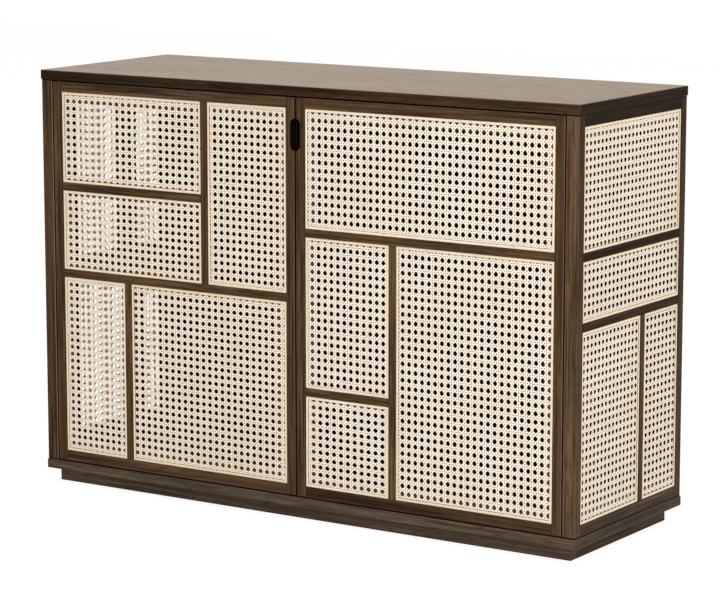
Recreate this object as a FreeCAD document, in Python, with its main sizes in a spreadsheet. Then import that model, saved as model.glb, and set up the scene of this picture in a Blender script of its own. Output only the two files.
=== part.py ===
"""A low two-door record cabinet: framed wooden sides and doors with cane panels, on a plinth.

Millimetres. X runs across the cabinet, Y from its front to its back and Z up. The origin is on
the floor, under the middle of the cabinet. Every size is a cell of the sheet "sizes", and every
solid takes its sizes and its place from those cells.
"""
import FreeCAD, Part
import Sketcher
import itertools
import os

FAILED_STATES = ("Invalid", "Error")
CLOSE = 1e-4  # two positions nearer than this are the same

# Driving sizes: name, value in millimetres, what it measures.
SIZES = (
    ("cabinet_width", 1060, "top and bottom boards, left to right"),
    ("cabinet_depth", 360, "top and bottom boards, front to back"),
    ("carcase_height", 700, "underside of the bottom board to the top face"),
    ("board_thickness", 16, "top and bottom boards"),
    ("board_overhang", 1.5, "boards beyond the side frames and door faces"),
    ("board_chamfer", 1, "broken edges of the two boards"),
    ("plinth_height", 23, "floor to the underside of the bottom board"),
    ("plinth_thickness", 18, "plinth boards"),
    ("plinth_side_inset", 17, "plinth behind the boards' ends"),
    ("plinth_front_inset", 17, "plinth behind the boards' front edge"),
    ("plinth_back_inset", 25, "plinth in front of the boards' back edge"),
    ("side_thickness", 22.5, "side frames"),
    ("door_thickness", 20, "doors"),
    ("door_gap", 2, "gap round each door"),
    ("stile_face", 18, "visible width of stiles and door rails"),
    ("side_rail_face", 20, "visible height of the side frames' rails"),
    ("frame_ledge", 18, "stiles and rails widen by this behind the cane"),
    ("bar_face", 14, "visible width of the bars and posts"),
    ("bar_ledge", 8, "bars and posts widen by this on each side behind the cane"),
    ("edge_ease", 0.6, "eased long edges of the visible faces"),
    ("cane_setback", 1.2, "cane behind the wooden face"),
    ("cane_thickness", 1.6, "woven cane"),
    ("cane_opening", 20, "side of the cane's square openings"),
    ("cane_spacing", 36, "least distance between the middles of two openings"),
    ("spline_width", 5, "reed that holds the cane in its groove"),
    ("spline_setback", 0.6, "reed behind the wooden face"),
    ("spline_depth", 3, "groove for the reed, below the ledge"),
    ("upper_level", 460.5, "middle of the upper bars above the bottom board's underside"),
    ("lower_level", 350, "middle of the lower bars and of the shelves, from the same plane"),
    ("left_door_bar_level", 501, "short bar of the left door, from the same plane"),
    ("right_door_bar_level", 195.5, "short bar of the right door, from the same plane"),
    ("left_door_upper_post_offset", 319, "from the left door's hinge edge"),
    ("left_door_lower_post_offset", 156.5, "from the left door's hinge edge"),
    ("right_door_post_offset", 316, "from the right door's hinge edge"),
    ("left_side_upper_post_offset", 216.5, "from the side frame's front edge"),
    ("left_side_lower_post_offset", 243.5, "from the side frame's front edge"),
    ("right_side_post_offset", 216.5, "from the side frame's front edge"),
    ("tenon_thickness", 8, "all tenons"),
    ("tenon_shoulder", 8, "step at each side of a tenon"),
    ("rail_tenon_length", 20, "rails into stiles"),
    ("bar_tenon_length", 12, "bars and posts into their neighbours"),
    ("finger_slot_width", 20, "slot across the two meeting stiles"),
    ("finger_slot_height", 54, "slot, end to end"),
    ("finger_slot_level", 620.5, "middle of the slot above the bottom board's underside"),
    ("back_thickness", 6, "back panel"),
    ("back_reveal", 5, "back panel in front of the side frames' back edges"),
    ("back_groove_depth", 5, "groove for the back panel"),
    ("back_groove_play", 0.5, "back panel short of the groove's bottom"),
    ("partition_thickness", 16, "upright between the two bays"),
    ("shelf_thickness", 16, "shelves"),
    ("shelf_setback", 10, "shelves and partition behind the closed doors"),
    ("dowel_radius", 4, "all dowels"),
    ("dowel_play", 0.05, "dowel to its hole, on the radius"),
    ("board_dowel_depth", 10, "dowels into the top and bottom boards"),
    ("frame_dowel_depth", 20, "dowels into stiles, partition and shelves"),
    ("side_dowel_depth", 12, "shelf dowels into the side frames, and dowels into the plinth"),
    ("stile_dowel_offset", 10, "dowel from the outer edge of a side stile"),
    ("shelf_dowel_inset", 50, "first and last dowel from the ends of a joint"),
    ("plinth_dowel_inset", 80, "dowel from the ends of the plinth's front and back"),
    ("pivot_radius", 2.5, "pivot pins"),
    ("pivot_edge_offset", 10, "pivot from the door's hinge edge"),
    ("pivot_face_offset", 6, "pivot behind the door's face"),
    ("pivot_depth", 12, "pin into the board, and into the door"),
    ("pivot_play", 0.05, "pin to its bush, on the radius"),
    ("collar_radius", 4, "collar that carries the door"),
    ("collar_play", 0.1, "collar to the door's edge"),
    ("bush_radius", 4, "bush in the door, outside"),
    ("bush_length", 14, "bush in the door"),
    ("catch_offset", 60, "middle of a catch from the cabinet's middle"),
    ("catch_width", 46, "magnetic catch"),
    ("catch_depth", 10, "magnetic catch"),
    ("catch_height", 10, "magnetic catch"),
    ("catch_slot", 1.5, "slots between the catch's pole pieces"),
    ("catch_slot_pitch", 12, "between the two slots"),
    ("catch_play", 0.2, "catch to its strike plate"),
    ("strike_width", 40, "strike plate"),
    ("strike_height", 8, "strike plate"),
    ("strike_thickness", 1.2, "strike plate"),
)

doc = FreeCAD.newDocument("record_cabinet")
sheet = doc.addObject("Spreadsheet::Sheet", "sizes")


class Length:
    """A length as a formula on the sheet's cells; sums and shares of lengths are lengths too."""

    def __init__(self, formula):
        self.formula = str(formula)

    def __add__(self, other):
        return Length(f"({self.formula} + {formula_of(other)})")

    def __sub__(self, other):
        return Length(f"({self.formula} - {formula_of(other)})")

    def __mul__(self, factor):
        return Length(f"({self.formula} * {factor})")

    def __truediv__(self, divisor):
        return Length(f"({self.formula} / {divisor})")

    def __neg__(self):
        return Length(f"(0 - {self.formula})")


def formula_of(value):
    """The formula of a length, or a plain number as it is."""
    return value.formula if isinstance(value, Length) else str(value)


def size(name):
    """The cell with this alias."""
    return Length(f"sizes.{name}")


def fill_sheet():
    """One row for each driving size: its name, its value with an alias, and its meaning."""
    for row, (name, value, meaning) in enumerate(SIZES, start=1):
        sheet.set(f"A{row}", name)
        sheet.set(f"B{row}", str(value))
        sheet.set(f"C{row}", meaning)
        sheet.setAlias(f"B{row}", name)
    doc.recompute()


def bind(target, prop, length):
    """Tie a property of an object to a formula on the sheet."""
    target.setExpression(prop, formula_of(length))


def measure(length):
    """The number of millimetres that a length comes to."""
    return float(sheet.evalExpression(formula_of(length)))


# ---------------------------------------------------------------- solids

def block(name, x, y, z):
    """A box between two positions along each axis."""
    box = doc.addObject("Part::Box", name)
    for prop, axis, (low, high) in (("Length", "x", x), ("Width", "y", y), ("Height", "z", z)):
        bind(box, prop, high - low)
        bind(box, f"Placement.Base.{axis}", low)
    return box


TURN_FROM_UPRIGHT = {
    "x": FreeCAD.Rotation(FreeCAD.Vector(0, 1, 0), 90),
    "y": FreeCAD.Rotation(FreeCAD.Vector(1, 0, 0), -90),
    "z": FreeCAD.Rotation(),
}


def rod(name, radius, axis, x, y, z):
    """A round bar along one axis: that axis is given a pair of positions, the others one each."""
    bar = doc.addObject("Part::Cylinder", name)
    bar.Placement = FreeCAD.Placement(FreeCAD.Vector(), TURN_FROM_UPRIGHT[axis])
    place = {"x": x, "y": y, "z": z}
    low, high = place[axis]
    place[axis] = low
    bind(bar, "Radius", radius)
    bind(bar, "Height", high - low)
    for letter, position in place.items():
        bind(bar, f"Placement.Base.{letter}", position)
    return bar


def fuse(name, shapes):
    """One solid, or several, from shapes that touch or overlap."""
    joined = doc.addObject("Part::MultiFuse", name)
    joined.Shapes = shapes
    joined.Refine = True
    return joined


def cut(name, base, tool):
    """The base without the tool."""
    remainder = doc.addObject("Part::Cut", name)
    remainder.Base = base
    remainder.Tool = tool
    remainder.Refine = True
    return remainder


def grid_of_openings(name, x, y, z, through):
    """Square prisms in even rows over a sheet, which they pierce along one axis."""
    spans = dict(zip("xyz", ([measure(end) for end in pair] for pair in (x, y, z))))
    opening = measure(size("cane_opening"))
    spacing = measure(size("cane_spacing"))
    starts = {}
    for axis, (low, high) in spans.items():
        if axis == through:
            starts[axis] = [low]
            continue
        count = max(1, int((high - low) / spacing))
        pitch = (high - low) / count
        starts[axis] = [low + pitch * (turn + 0.5) - opening / 2 for turn in range(count)]
    sides = [spans[axis][1] - spans[axis][0] if axis == through else opening for axis in "xyz"]
    prisms = [Part.makeBox(*sides, FreeCAD.Vector(*corner))
              for corner in itertools.product(*(starts[axis] for axis in "xyz"))]
    openings = doc.addObject("Part::Feature", name)
    openings.Shape = Part.makeCompound(prisms)
    return openings


def group(name, shapes):
    """Separate solids that share one node."""
    compound = doc.addObject("Part::Compound", name)
    compound.Links = shapes
    return compound


def ease_edges(name, base, face_axis, face_at_low_end, run_axis):
    """Chamfer the two long edges of a box's show face, those that run along run_axis."""
    doc.recompute()
    box = base.Shape.BoundBox
    ends = {"x": (box.XMin, box.XMax), "y": (box.YMin, box.YMax), "z": (box.ZMin, box.ZMax)}
    face = ends[face_axis][0 if face_at_low_end else 1]
    ease = float(sheet.get("edge_ease"))
    edges = []
    for number, edge in enumerate(base.Shape.Edges, start=1):
        first, last = (vertex.Point for vertex in edge.Vertexes)
        on_face = all(abs(getattr(point, face_axis) - face) < CLOSE for point in (first, last))
        along = abs(getattr(first, run_axis) - getattr(last, run_axis)) > CLOSE
        if on_face and along:
            edges.append((number, ease, ease))
    eased = doc.addObject("Part::Chamfer", name)
    eased.Base = base
    eased.Edges = edges
    return eased


# ---------------------------------------------------------------- places shared by the pieces

fill_sheet()

LEFT = -(size("cabinet_width") / 2)
RIGHT = size("cabinet_width") / 2
FRONT = -(size("cabinet_depth") / 2)
BACK = size("cabinet_depth") / 2
MIDDLE = Length(0)

UNDERSIDE = size("plinth_height")
FLOOR_TOP = UNDERSIDE + size("board_thickness")
TOP = UNDERSIDE + size("carcase_height")
CEILING = TOP - size("board_thickness")

FACE = FRONT + size("board_overhang")
REAR = BACK - size("board_overhang")
SIDE_INNER_LEFT = LEFT + size("board_overhang") + size("side_thickness")
SIDE_INNER_RIGHT = RIGHT - size("board_overhang") - size("side_thickness")

DOOR_BACK = FACE + size("door_thickness")
DOOR_WIDTH = (SIDE_INNER_RIGHT - SIDE_INNER_LEFT - size("door_gap") * 3) / 2
DOOR_BOTTOM = FLOOR_TOP + size("door_gap")
DOOR_TOP = CEILING - size("door_gap")

BACK_PANEL_REAR = REAR - size("back_reveal")
BACK_PANEL_FRONT = BACK_PANEL_REAR - size("back_thickness")
INSIDE_FRONT = DOOR_BACK + size("shelf_setback")

PARTITION_LEFT = -(size("partition_thickness") / 2)
PARTITION_RIGHT = size("partition_thickness") / 2
SHELF_LEVEL = UNDERSIDE + size("lower_level")

LEDGE_DEPTH = size("cane_setback") + size("cane_thickness")


# ---------------------------------------------------------------- framed leaves with cane panels

class Member:
    """A stile, rail, bar or post of a leaf.

    show and base are its spans across its own width, in front of the cane and behind it;
    show_run and base_run are its spans along its length.
    """

    def __init__(self, name, upright, show, base, show_run, base_run, tenon_length):
        self.name = name
        self.upright = upright
        self.show = show
        self.base = base
        self.show_run = show_run
        self.base_run = base_run
        self.tenon_length = tenon_length


class Leaf:
    """A door or a side frame. u runs across it, v up it and w from its show face inwards."""

    def __init__(self, name, across, start, face, inward, extent, bottom, top, thickness,
                 rail_face):
        self.name = name
        self.across = across
        self.start = start
        self.face = face
        self.inward = inward
        self.extent = extent
        self.bottom = bottom
        self.top = top
        self.thickness = thickness
        self.rail_face = rail_face
        self.members = []
        self.panels = []

    def spans(self, u, v, w):
        """Positions along X, Y and Z of spans along u, v and w."""
        wide = (self.start + u[0], self.start + u[1])
        if self.inward > 0:
            deep = (self.face + w[0], self.face + w[1])
        else:
            deep = (self.face - w[1], self.face - w[0])
        return (wide, deep, v) if self.across == "x" else (deep, wide, v)

    def block(self, name, u, v, w):
        """A box given by its spans along u, v and w."""
        return block(name, *self.spans(u, v, w))

    def add(self, *args):
        """Keep a new member."""
        member = Member(*args)
        self.members.append(member)
        return member

    def stile(self, name, far):
        """An outer upright: the near one at u = 0, the far one at the leaf's other edge."""
        show = (Length(0), size("stile_face"))
        base = (Length(0), size("stile_face") + size("frame_ledge"))
        if far:
            show = (self.extent - show[1], self.extent)
            base = (self.extent - base[1], self.extent)
        run = (self.bottom, self.top)
        return self.add(name, True, show, base, run, run, None)

    def rail(self, name, near, far, at_top):
        """The top or bottom rail, between the two stiles."""
        show = (self.bottom, self.bottom + self.rail_face)
        base = (self.bottom, self.bottom + self.rail_face + size("frame_ledge"))
        if at_top:
            show = (self.top - self.rail_face, self.top)
            base = (self.top - self.rail_face - size("frame_ledge"), self.top)
        return self.add(name, False, show, base, (near.show[1], far.show[0]),
                        (near.base[1], far.base[0]), size("rail_tenon_length"))

    def between(self, name, upright, middle, first, second):
        """A bar or a post about its middle line, between two members that cross it."""
        half = size("bar_face") / 2
        wide = half + size("bar_ledge")
        return self.add(name, upright, (middle - half, middle + half),
                        (middle - wide, middle + wide), (first.show[1], second.show[0]),
                        (first.base[1], second.base[0]), size("bar_tenon_length"))

    def bar(self, name, level, near, far):
        """A level bar at a height above the bottom board's underside."""
        return self.between(name, False, UNDERSIDE + level, near, far)

    def post(self, name, offset, below, above):
        """An upright bar at an offset from the leaf's near edge."""
        return self.between(name, True, offset, below, above)

    def panel(self, near, far, below, above):
        """The opening between four members, which takes one sheet of cane."""
        self.panels.append(((near.show[1], far.show[0]), (below.show[1], above.show[0])))

    def tenons(self, member):
        """The two stub tenons on a member's ends."""
        if member.tenon_length is None:
            return []
        half = size("tenon_thickness") / 2
        middle = (LEDGE_DEPTH + self.thickness) / 2
        deep = (middle - half, middle + half)
        shoulder = size("tenon_shoulder")
        cheek = (member.base[0] + shoulder, member.base[1] - shoulder)
        low, high = member.base_run
        runs = ((low - member.tenon_length, low), (high, high + member.tenon_length))
        blocks = []
        for end, run in zip(("first", "second"), runs):
            u, v = (cheek, run) if member.upright else (run, cheek)
            blocks.append(self.block(f"{member.name}_{end}_tenon", u, v, deep))
        return blocks

    def timber(self, member):
        """A member's wide part behind the cane, and its narrow visible part in front of it."""
        base_w = (LEDGE_DEPTH, self.thickness)
        show_w = (Length(0), LEDGE_DEPTH)
        if member.upright:
            base = self.block(f"{member.name}_base", member.base, member.base_run, base_w)
            show = self.block(f"{member.name}_show", member.show, member.show_run, show_w)
        else:
            base = self.block(f"{member.name}_base", member.base_run, member.base, base_w)
            show = self.block(f"{member.name}_show", member.show_run, member.show, show_w)
        face_axis = "y" if self.across == "x" else "x"
        run_axis = "z" if member.upright else self.across
        eased = ease_edges(f"{member.name}_eased", show, face_axis, self.inward > 0, run_axis)
        return fuse(f"{member.name}_timber", [base, eased])

    def ring(self, name, opening, w):
        """A rectangular ring just inside an opening, as wide as the reed."""
        width = size("spline_width")
        u, v = opening
        outer = self.block(f"{name}_outer", u, v, w)
        inner = self.block(f"{name}_inner", (u[0] + width, u[1] - width),
                           (v[0] + width, v[1] - width), w)
        return cut(name, outer, inner)

    def woven_sheet(self, name, opening, w):
        """A sheet of open cane within the reed, with a plain grid of openings for its weave."""
        width = size("spline_width")
        u, v = opening
        spans = self.spans((u[0] + width, u[1] - width), (v[0] + width, v[1] - width), w)
        through = "y" if self.across == "x" else "x"
        return cut(name, block(f"{name}_blank", *spans),
                   grid_of_openings(f"{name}_openings", *spans, through))

    def build(self):
        """All members by name, then the leaf's cane and its splines."""
        groove_w = (LEDGE_DEPTH, LEDGE_DEPTH + size("spline_depth"))
        spline_w = (size("spline_setback"), LEDGE_DEPTH + size("spline_depth"))
        cane_w = (size("cane_setback"), LEDGE_DEPTH)
        grooves = []
        splines = []
        sheets = []
        for number, opening in enumerate(self.panels, start=1):
            grooves.append(self.ring(f"{self.name}_groove_{number}", opening, groove_w))
            splines.append(self.ring(f"{self.name}_spline_{number}", opening, spline_w))
            sheets.append(self.woven_sheet(f"{self.name}_sheet_{number}", opening, cane_w))
        tenons = {member.name: self.tenons(member) for member in self.members}
        mortises = [tenon for pair in tenons.values() for tenon in pair]
        waste = fuse(f"{self.name}_waste", grooves + mortises)
        pieces = {}
        for member in self.members:
            shaped = cut(f"{member.name}_shaped", self.timber(member), waste)
            own = tenons[member.name]
            pieces[member.name] = fuse(f"{member.name}_joined", [shaped] + own) if own else shaped
        pieces["cane"] = group(f"{self.name}_cane_sheets", sheets)
        pieces["splines"] = group(f"{self.name}_spline_rings", splines)
        return pieces


def make_door(name, start):
    """A door leaf between its gaps, flush with the front edges of the side frames."""
    return Leaf(name, "x", start, FACE, 1, DOOR_WIDTH, DOOR_BOTTOM, DOOR_TOP,
                size("door_thickness"), size("stile_face"))


def make_side(name, face, inward):
    """A side frame between the two boards."""
    return Leaf(name, "y", FACE, face, inward, REAR - FACE, FLOOR_TOP, CEILING,
                size("side_thickness"), size("side_rail_face"))


def left_door_leaf():
    """Five panels: a full-width bar at the shelf, two posts and a short bar above on the left."""
    leaf = make_door("left_door", SIDE_INNER_LEFT + size("door_gap"))
    hinge = leaf.stile("hinge_stile", far=False)
    meeting = leaf.stile("meeting_stile", far=True)
    top = leaf.rail("top_rail", hinge, meeting, at_top=True)
    bottom = leaf.rail("bottom_rail", hinge, meeting, at_top=False)
    cross = leaf.bar("cross_bar", size("lower_level"), hinge, meeting)
    upper = leaf.post("upper_post", size("left_door_upper_post_offset"), cross, top)
    short = leaf.bar("upper_bar", size("left_door_bar_level"), hinge, upper)
    lower = leaf.post("lower_post", size("left_door_lower_post_offset"), bottom, cross)
    leaf.panel(hinge, upper, short, top)
    leaf.panel(hinge, upper, cross, short)
    leaf.panel(upper, meeting, cross, top)
    leaf.panel(hinge, lower, bottom, cross)
    leaf.panel(lower, meeting, bottom, cross)
    return leaf


def right_door_leaf():
    """Four panels: a full-width bar above the shelf, a post below it and a short bar."""
    leaf = make_door("right_door", size("door_gap") / 2)
    meeting = leaf.stile("meeting_stile", far=False)
    hinge = leaf.stile("hinge_stile", far=True)
    top = leaf.rail("top_rail", meeting, hinge, at_top=True)
    bottom = leaf.rail("bottom_rail", meeting, hinge, at_top=False)
    cross = leaf.bar("cross_bar", size("upper_level"), meeting, hinge)
    post_offset = DOOR_WIDTH - size("right_door_post_offset")
    post = leaf.post("lower_post", post_offset, bottom, cross)
    short = leaf.bar("lower_bar", size("right_door_bar_level"), meeting, post)
    leaf.panel(meeting, hinge, cross, top)
    leaf.panel(meeting, post, short, cross)
    leaf.panel(meeting, post, bottom, short)
    leaf.panel(post, hinge, bottom, cross)
    return leaf


def left_side_leaf():
    """Four panels: a full-depth bar at the shelf, one post above it and one below."""
    leaf = make_side("left_side", LEFT + size("board_overhang"), 1)
    front = leaf.stile("front_stile", far=False)
    rear = leaf.stile("rear_stile", far=True)
    top = leaf.rail("top_rail", front, rear, at_top=True)
    bottom = leaf.rail("bottom_rail", front, rear, at_top=False)
    cross = leaf.bar("lower_bar", size("lower_level"), front, rear)
    upper = leaf.post("upper_post", size("left_side_upper_post_offset"), cross, top)
    lower = leaf.post("lower_post", size("left_side_lower_post_offset"), bottom, cross)
    leaf.panel(front, upper, cross, top)
    leaf.panel(upper, rear, cross, top)
    leaf.panel(front, lower, bottom, cross)
    leaf.panel(lower, rear, bottom, cross)
    return leaf


def right_side_leaf():
    """Four panels: full-depth bars at both levels and one post below them."""
    leaf = make_side("right_side", RIGHT - size("board_overhang"), -1)
    front = leaf.stile("front_stile", far=False)
    rear = leaf.stile("rear_stile", far=True)
    top = leaf.rail("top_rail", front, rear, at_top=True)
    bottom = leaf.rail("bottom_rail", front, rear, at_top=False)
    upper = leaf.bar("upper_bar", size("upper_level"), front, rear)
    lower = leaf.bar("lower_bar", size("lower_level"), front, rear)
    post = leaf.post("lower_post", size("right_side_post_offset"), bottom, lower)
    leaf.panel(front, rear, upper, top)
    leaf.panel(front, rear, lower, upper)
    leaf.panel(front, post, bottom, lower)
    leaf.panel(post, rear, bottom, lower)
    return leaf


# ---------------------------------------------------------------- boards

def board(name, low):
    """A top or bottom board: a padded rectangle with every edge broken."""
    start, end, origin = 1, 2, -1  # the sketcher's numbers for a line's ends and its own origin
    body = doc.addObject("PartDesign::Body", name)
    sketch = body.newObject("Sketcher::SketchObject", f"{name}_outline")
    plane = [item for item in body.Origin.OriginFeatures if item.Role == "XY_Plane"][0]
    sketch.AttachmentSupport = [(plane, "")]
    sketch.MapMode = "FlatFace"
    half_width = float(sheet.get("cabinet_width")) / 2
    half_depth = float(sheet.get("cabinet_depth")) / 2
    corners = [FreeCAD.Vector(sx * half_width, sy * half_depth, 0)
               for sx, sy in ((-1, -1), (1, -1), (1, 1), (-1, 1))]
    sides = len(corners)
    for side in range(sides):
        sketch.addGeometry(Part.LineSegment(corners[side], corners[(side + 1) % sides]))
    for side in range(sides):
        sketch.addConstraint(
            Sketcher.Constraint("Coincident", side, end, (side + 1) % sides, start))
        sketch.addConstraint(Sketcher.Constraint("Vertical" if side % 2 else "Horizontal", side))
    sketch.addConstraint(Sketcher.Constraint("Symmetric", 0, start, 2, start, origin, start))
    for label, kind, side, cell in (("width", "DistanceX", 0, "cabinet_width"),
                                    ("depth", "DistanceY", 1, "cabinet_depth")):
        length = float(sheet.get(cell))
        index = sketch.addConstraint(Sketcher.Constraint(kind, side, start, side, end, length))
        sketch.renameConstraint(index, label)
        bind(sketch, f"Constraints.{label}", size(cell))
    pad = body.newObject("PartDesign::Pad", f"{name}_pad")
    pad.Profile = sketch
    bind(pad, "Length", size("board_thickness"))
    doc.recompute()
    broken = body.newObject("PartDesign::Chamfer", f"{name}_edges")
    broken.Base = (pad, [""])
    broken.UseAllEdges = True
    bind(broken, "Size", size("board_chamfer"))
    body.Tip = broken
    bind(body, "Placement.Base.z", low)
    return body


# ---------------------------------------------------------------- carcase fittings

def dowel_places():
    """Every dowel: axis, its two end positions along it and its two other coordinates."""
    into_board = size("board_dowel_depth")
    into_frame = size("frame_dowel_depth")
    into_side = size("side_dowel_depth")
    floor_run = (FLOOR_TOP - into_board, FLOOR_TOP + into_frame)
    ceiling_run = (CEILING - into_frame, CEILING + into_board)
    middle_of_side = size("board_overhang") + size("side_thickness") / 2
    offset = size("stile_dowel_offset")
    places = []
    for x in (LEFT + middle_of_side, RIGHT - middle_of_side):
        for y in (FACE + offset, REAR - offset):
            places.append(("z", x, y, floor_run))
            places.append(("z", x, y, ceiling_run))
    inset = size("shelf_dowel_inset")
    first, last = INSIDE_FRONT + inset, BACK_PANEL_FRONT - inset
    for y in (first, last):
        places.append(("z", MIDDLE, y, floor_run))
        places.append(("z", MIDDLE, y, ceiling_run))
    joints = ((SIDE_INNER_LEFT - into_side, SIDE_INNER_LEFT + into_frame),
              (PARTITION_LEFT - into_frame, PARTITION_RIGHT + into_frame),
              (SIDE_INNER_RIGHT - into_frame, SIDE_INNER_RIGHT + into_side))
    for run in joints:
        for y in (first, (first + last) / 2, last):
            places.append(("x", run, y, SHELF_LEVEL))
    plinth_run = (UNDERSIDE - into_side, UNDERSIDE + into_board)
    half = size("plinth_thickness") / 2
    along = size("plinth_side_inset") + size("plinth_dowel_inset")
    for x in (LEFT + along, RIGHT - along):
        places.append(("z", x, FRONT + size("plinth_front_inset") + half, plinth_run))
        places.append(("z", x, BACK - size("plinth_back_inset") - half, plinth_run))
    for x in (LEFT + size("plinth_side_inset") + half, RIGHT - size("plinth_side_inset") - half):
        places.append(("z", x, MIDDLE, plinth_run))
    return places


def rods_at(name, places, radius):
    """Round bars of one radius at a list of places."""
    return [rod(f"{name}_{number}", radius, axis, x, y, z)
            for number, (axis, x, y, z) in enumerate(places, start=1)]


def pivot_x(side):
    """The pivot's position across the cabinet: side is -1 for the left door, 1 for the right."""
    reach = size("door_gap") + size("pivot_edge_offset")
    return SIDE_INNER_LEFT + reach if side < 0 else SIDE_INNER_RIGHT - reach


PIVOT_Y = FACE + size("pivot_face_offset")
SIDE_NAMES = {-1: "left", 1: "right"}


def pivots(name, board_face, upwards):
    """The two pins in one board, each with the collar that spaces or carries a door."""
    depth = size("pivot_depth")
    gap = size("door_gap")
    collar = gap - size("collar_play")
    if upwards:
        pin_run = (board_face - depth, board_face + gap + depth)
        collar_run = (board_face, board_face + collar)
    else:
        pin_run = (board_face - gap - depth, board_face + depth)
        collar_run = (board_face - collar, board_face)
    pins = []
    for side, word in SIDE_NAMES.items():
        pin = rod(f"{name}_{word}_pin", size("pivot_radius"), "z", pivot_x(side), PIVOT_Y, pin_run)
        ring = rod(f"{name}_{word}_collar", size("collar_radius"), "z", pivot_x(side), PIVOT_Y,
                   collar_run)
        pins.append(fuse(f"{name}_{word}", [pin, ring]))
    return group(f"{name}_pair", pins)


def pivot_bores(name, board_face, upwards):
    """The holes for the pins in one board."""
    depth = size("pivot_depth")
    run = (board_face - depth, board_face) if upwards else (board_face, board_face + depth)
    radius = size("pivot_radius") + size("dowel_play")
    return [rod(f"{name}_{word}", radius, "z", pivot_x(side), PIVOT_Y, run)
            for side, word in SIDE_NAMES.items()]


def bush_runs():
    """Where the bushes sit in a door's bottom and top edges."""
    length = size("bush_length")
    return (DOOR_BOTTOM, DOOR_BOTTOM + length), (DOOR_TOP - length, DOOR_TOP)


def bushes(name, side):
    """A door's two bushes, each a sleeve that runs on a pin."""
    sleeves = []
    for end, run in zip(("lower", "upper"), bush_runs()):
        outer = rod(f"{name}_{end}_outer", size("bush_radius"), "z", pivot_x(side), PIVOT_Y, run)
        bore = rod(f"{name}_{end}_bore", size("pivot_radius") + size("pivot_play"), "z",
                   pivot_x(side), PIVOT_Y, run)
        sleeves.append(cut(f"{name}_{end}", outer, bore))
    return group(f"{name}_pair", sleeves)


def bush_bores(name, side):
    """The holes for the bushes in a hinge stile."""
    radius = size("bush_radius") + size("dowel_play")
    return fuse(name, [rod(f"{name}_{end}", radius, "z", pivot_x(side), PIVOT_Y, run)
                       for end, run in zip(("lower", "upper"), bush_runs())])


def finger_slot():
    """A round-ended slot through both meeting stiles, on the line between the doors."""
    radius = size("finger_slot_width") / 2
    level = UNDERSIDE + size("finger_slot_level")
    reach = size("finger_slot_height") / 2 - radius
    deep = (FACE, DOOR_BACK)
    middle = block("finger_slot_middle", (-radius, radius), deep, (level - reach, level + reach))
    ends = [rod(f"finger_slot_{word}", radius, "y", MIDDLE, deep, z)
            for word, z in (("foot", level - reach), ("head", level + reach))]
    return fuse("finger_slot", [middle] + ends)


def catch(side):
    """A magnetic catch under the top board: a housing with two slots beside its pole pieces."""
    word = SIDE_NAMES[side]
    middle = size("catch_offset") * side
    half = size("catch_width") / 2
    front = DOOR_BACK + size("strike_thickness") + size("catch_play")
    run = (CEILING - size("catch_height"), CEILING)
    housing = block(f"{word}_catch_housing", (middle - half, middle + half),
                    (front, front + size("catch_depth")), run)
    slot_half = size("catch_slot") / 2
    slots = []
    for end in (-1, 1):
        x = middle + size("catch_slot_pitch") / 2 * end
        slots.append(block(f"{word}_catch_slot_{SIDE_NAMES[end]}", (x - slot_half, x + slot_half),
                           (front, front + size("catch_slot")), run))
    return cut(f"{word}_catch", housing, fuse(f"{word}_catch_slots", slots))


def strike_plate(side):
    """The steel plate on a door's back that meets the catch."""
    middle = size("catch_offset") * side
    half = size("strike_width") / 2
    return block(f"{SIDE_NAMES[side]}_plate", (middle - half, middle + half),
                 (DOOR_BACK, DOOR_BACK + size("strike_thickness")),
                 (DOOR_TOP - size("strike_height"), DOOR_TOP))


def plinth_boards():
    """Front and back boards over the full width, with the side boards between them."""
    thick = size("plinth_thickness")
    x = (LEFT + size("plinth_side_inset"), RIGHT - size("plinth_side_inset"))
    y = (FRONT + size("plinth_front_inset"), BACK - size("plinth_back_inset"))
    z = (MIDDLE, UNDERSIDE)
    between = (y[0] + thick, y[1] - thick)
    return {
        "plinth_front": block("plinth_front_board", x, (y[0], y[0] + thick), z),
        "plinth_back": block("plinth_back_board", x, (y[1] - thick, y[1]), z),
        "plinth_left": block("plinth_left_board", (x[0], x[0] + thick), between, z),
        "plinth_right": block("plinth_right_board", (x[1] - thick, x[1]), between, z),
    }


def back_groove():
    """The groove round the back panel, cut into the boards and the rear stiles."""
    depth = size("back_groove_depth")
    return block("back_groove", (SIDE_INNER_LEFT - depth, SIDE_INNER_RIGHT + depth),
                 (BACK_PANEL_FRONT, BACK_PANEL_REAR), (FLOOR_TOP - depth, CEILING + depth))


def back_panel():
    """A thin board held in the groove on all four sides."""
    reach = size("back_groove_depth") - size("back_groove_play")
    return block("back_board", (SIDE_INNER_LEFT - reach, SIDE_INNER_RIGHT + reach),
                 (BACK_PANEL_FRONT, BACK_PANEL_REAR), (FLOOR_TOP - reach, CEILING + reach))


# ---------------------------------------------------------------- the assembly

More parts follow.
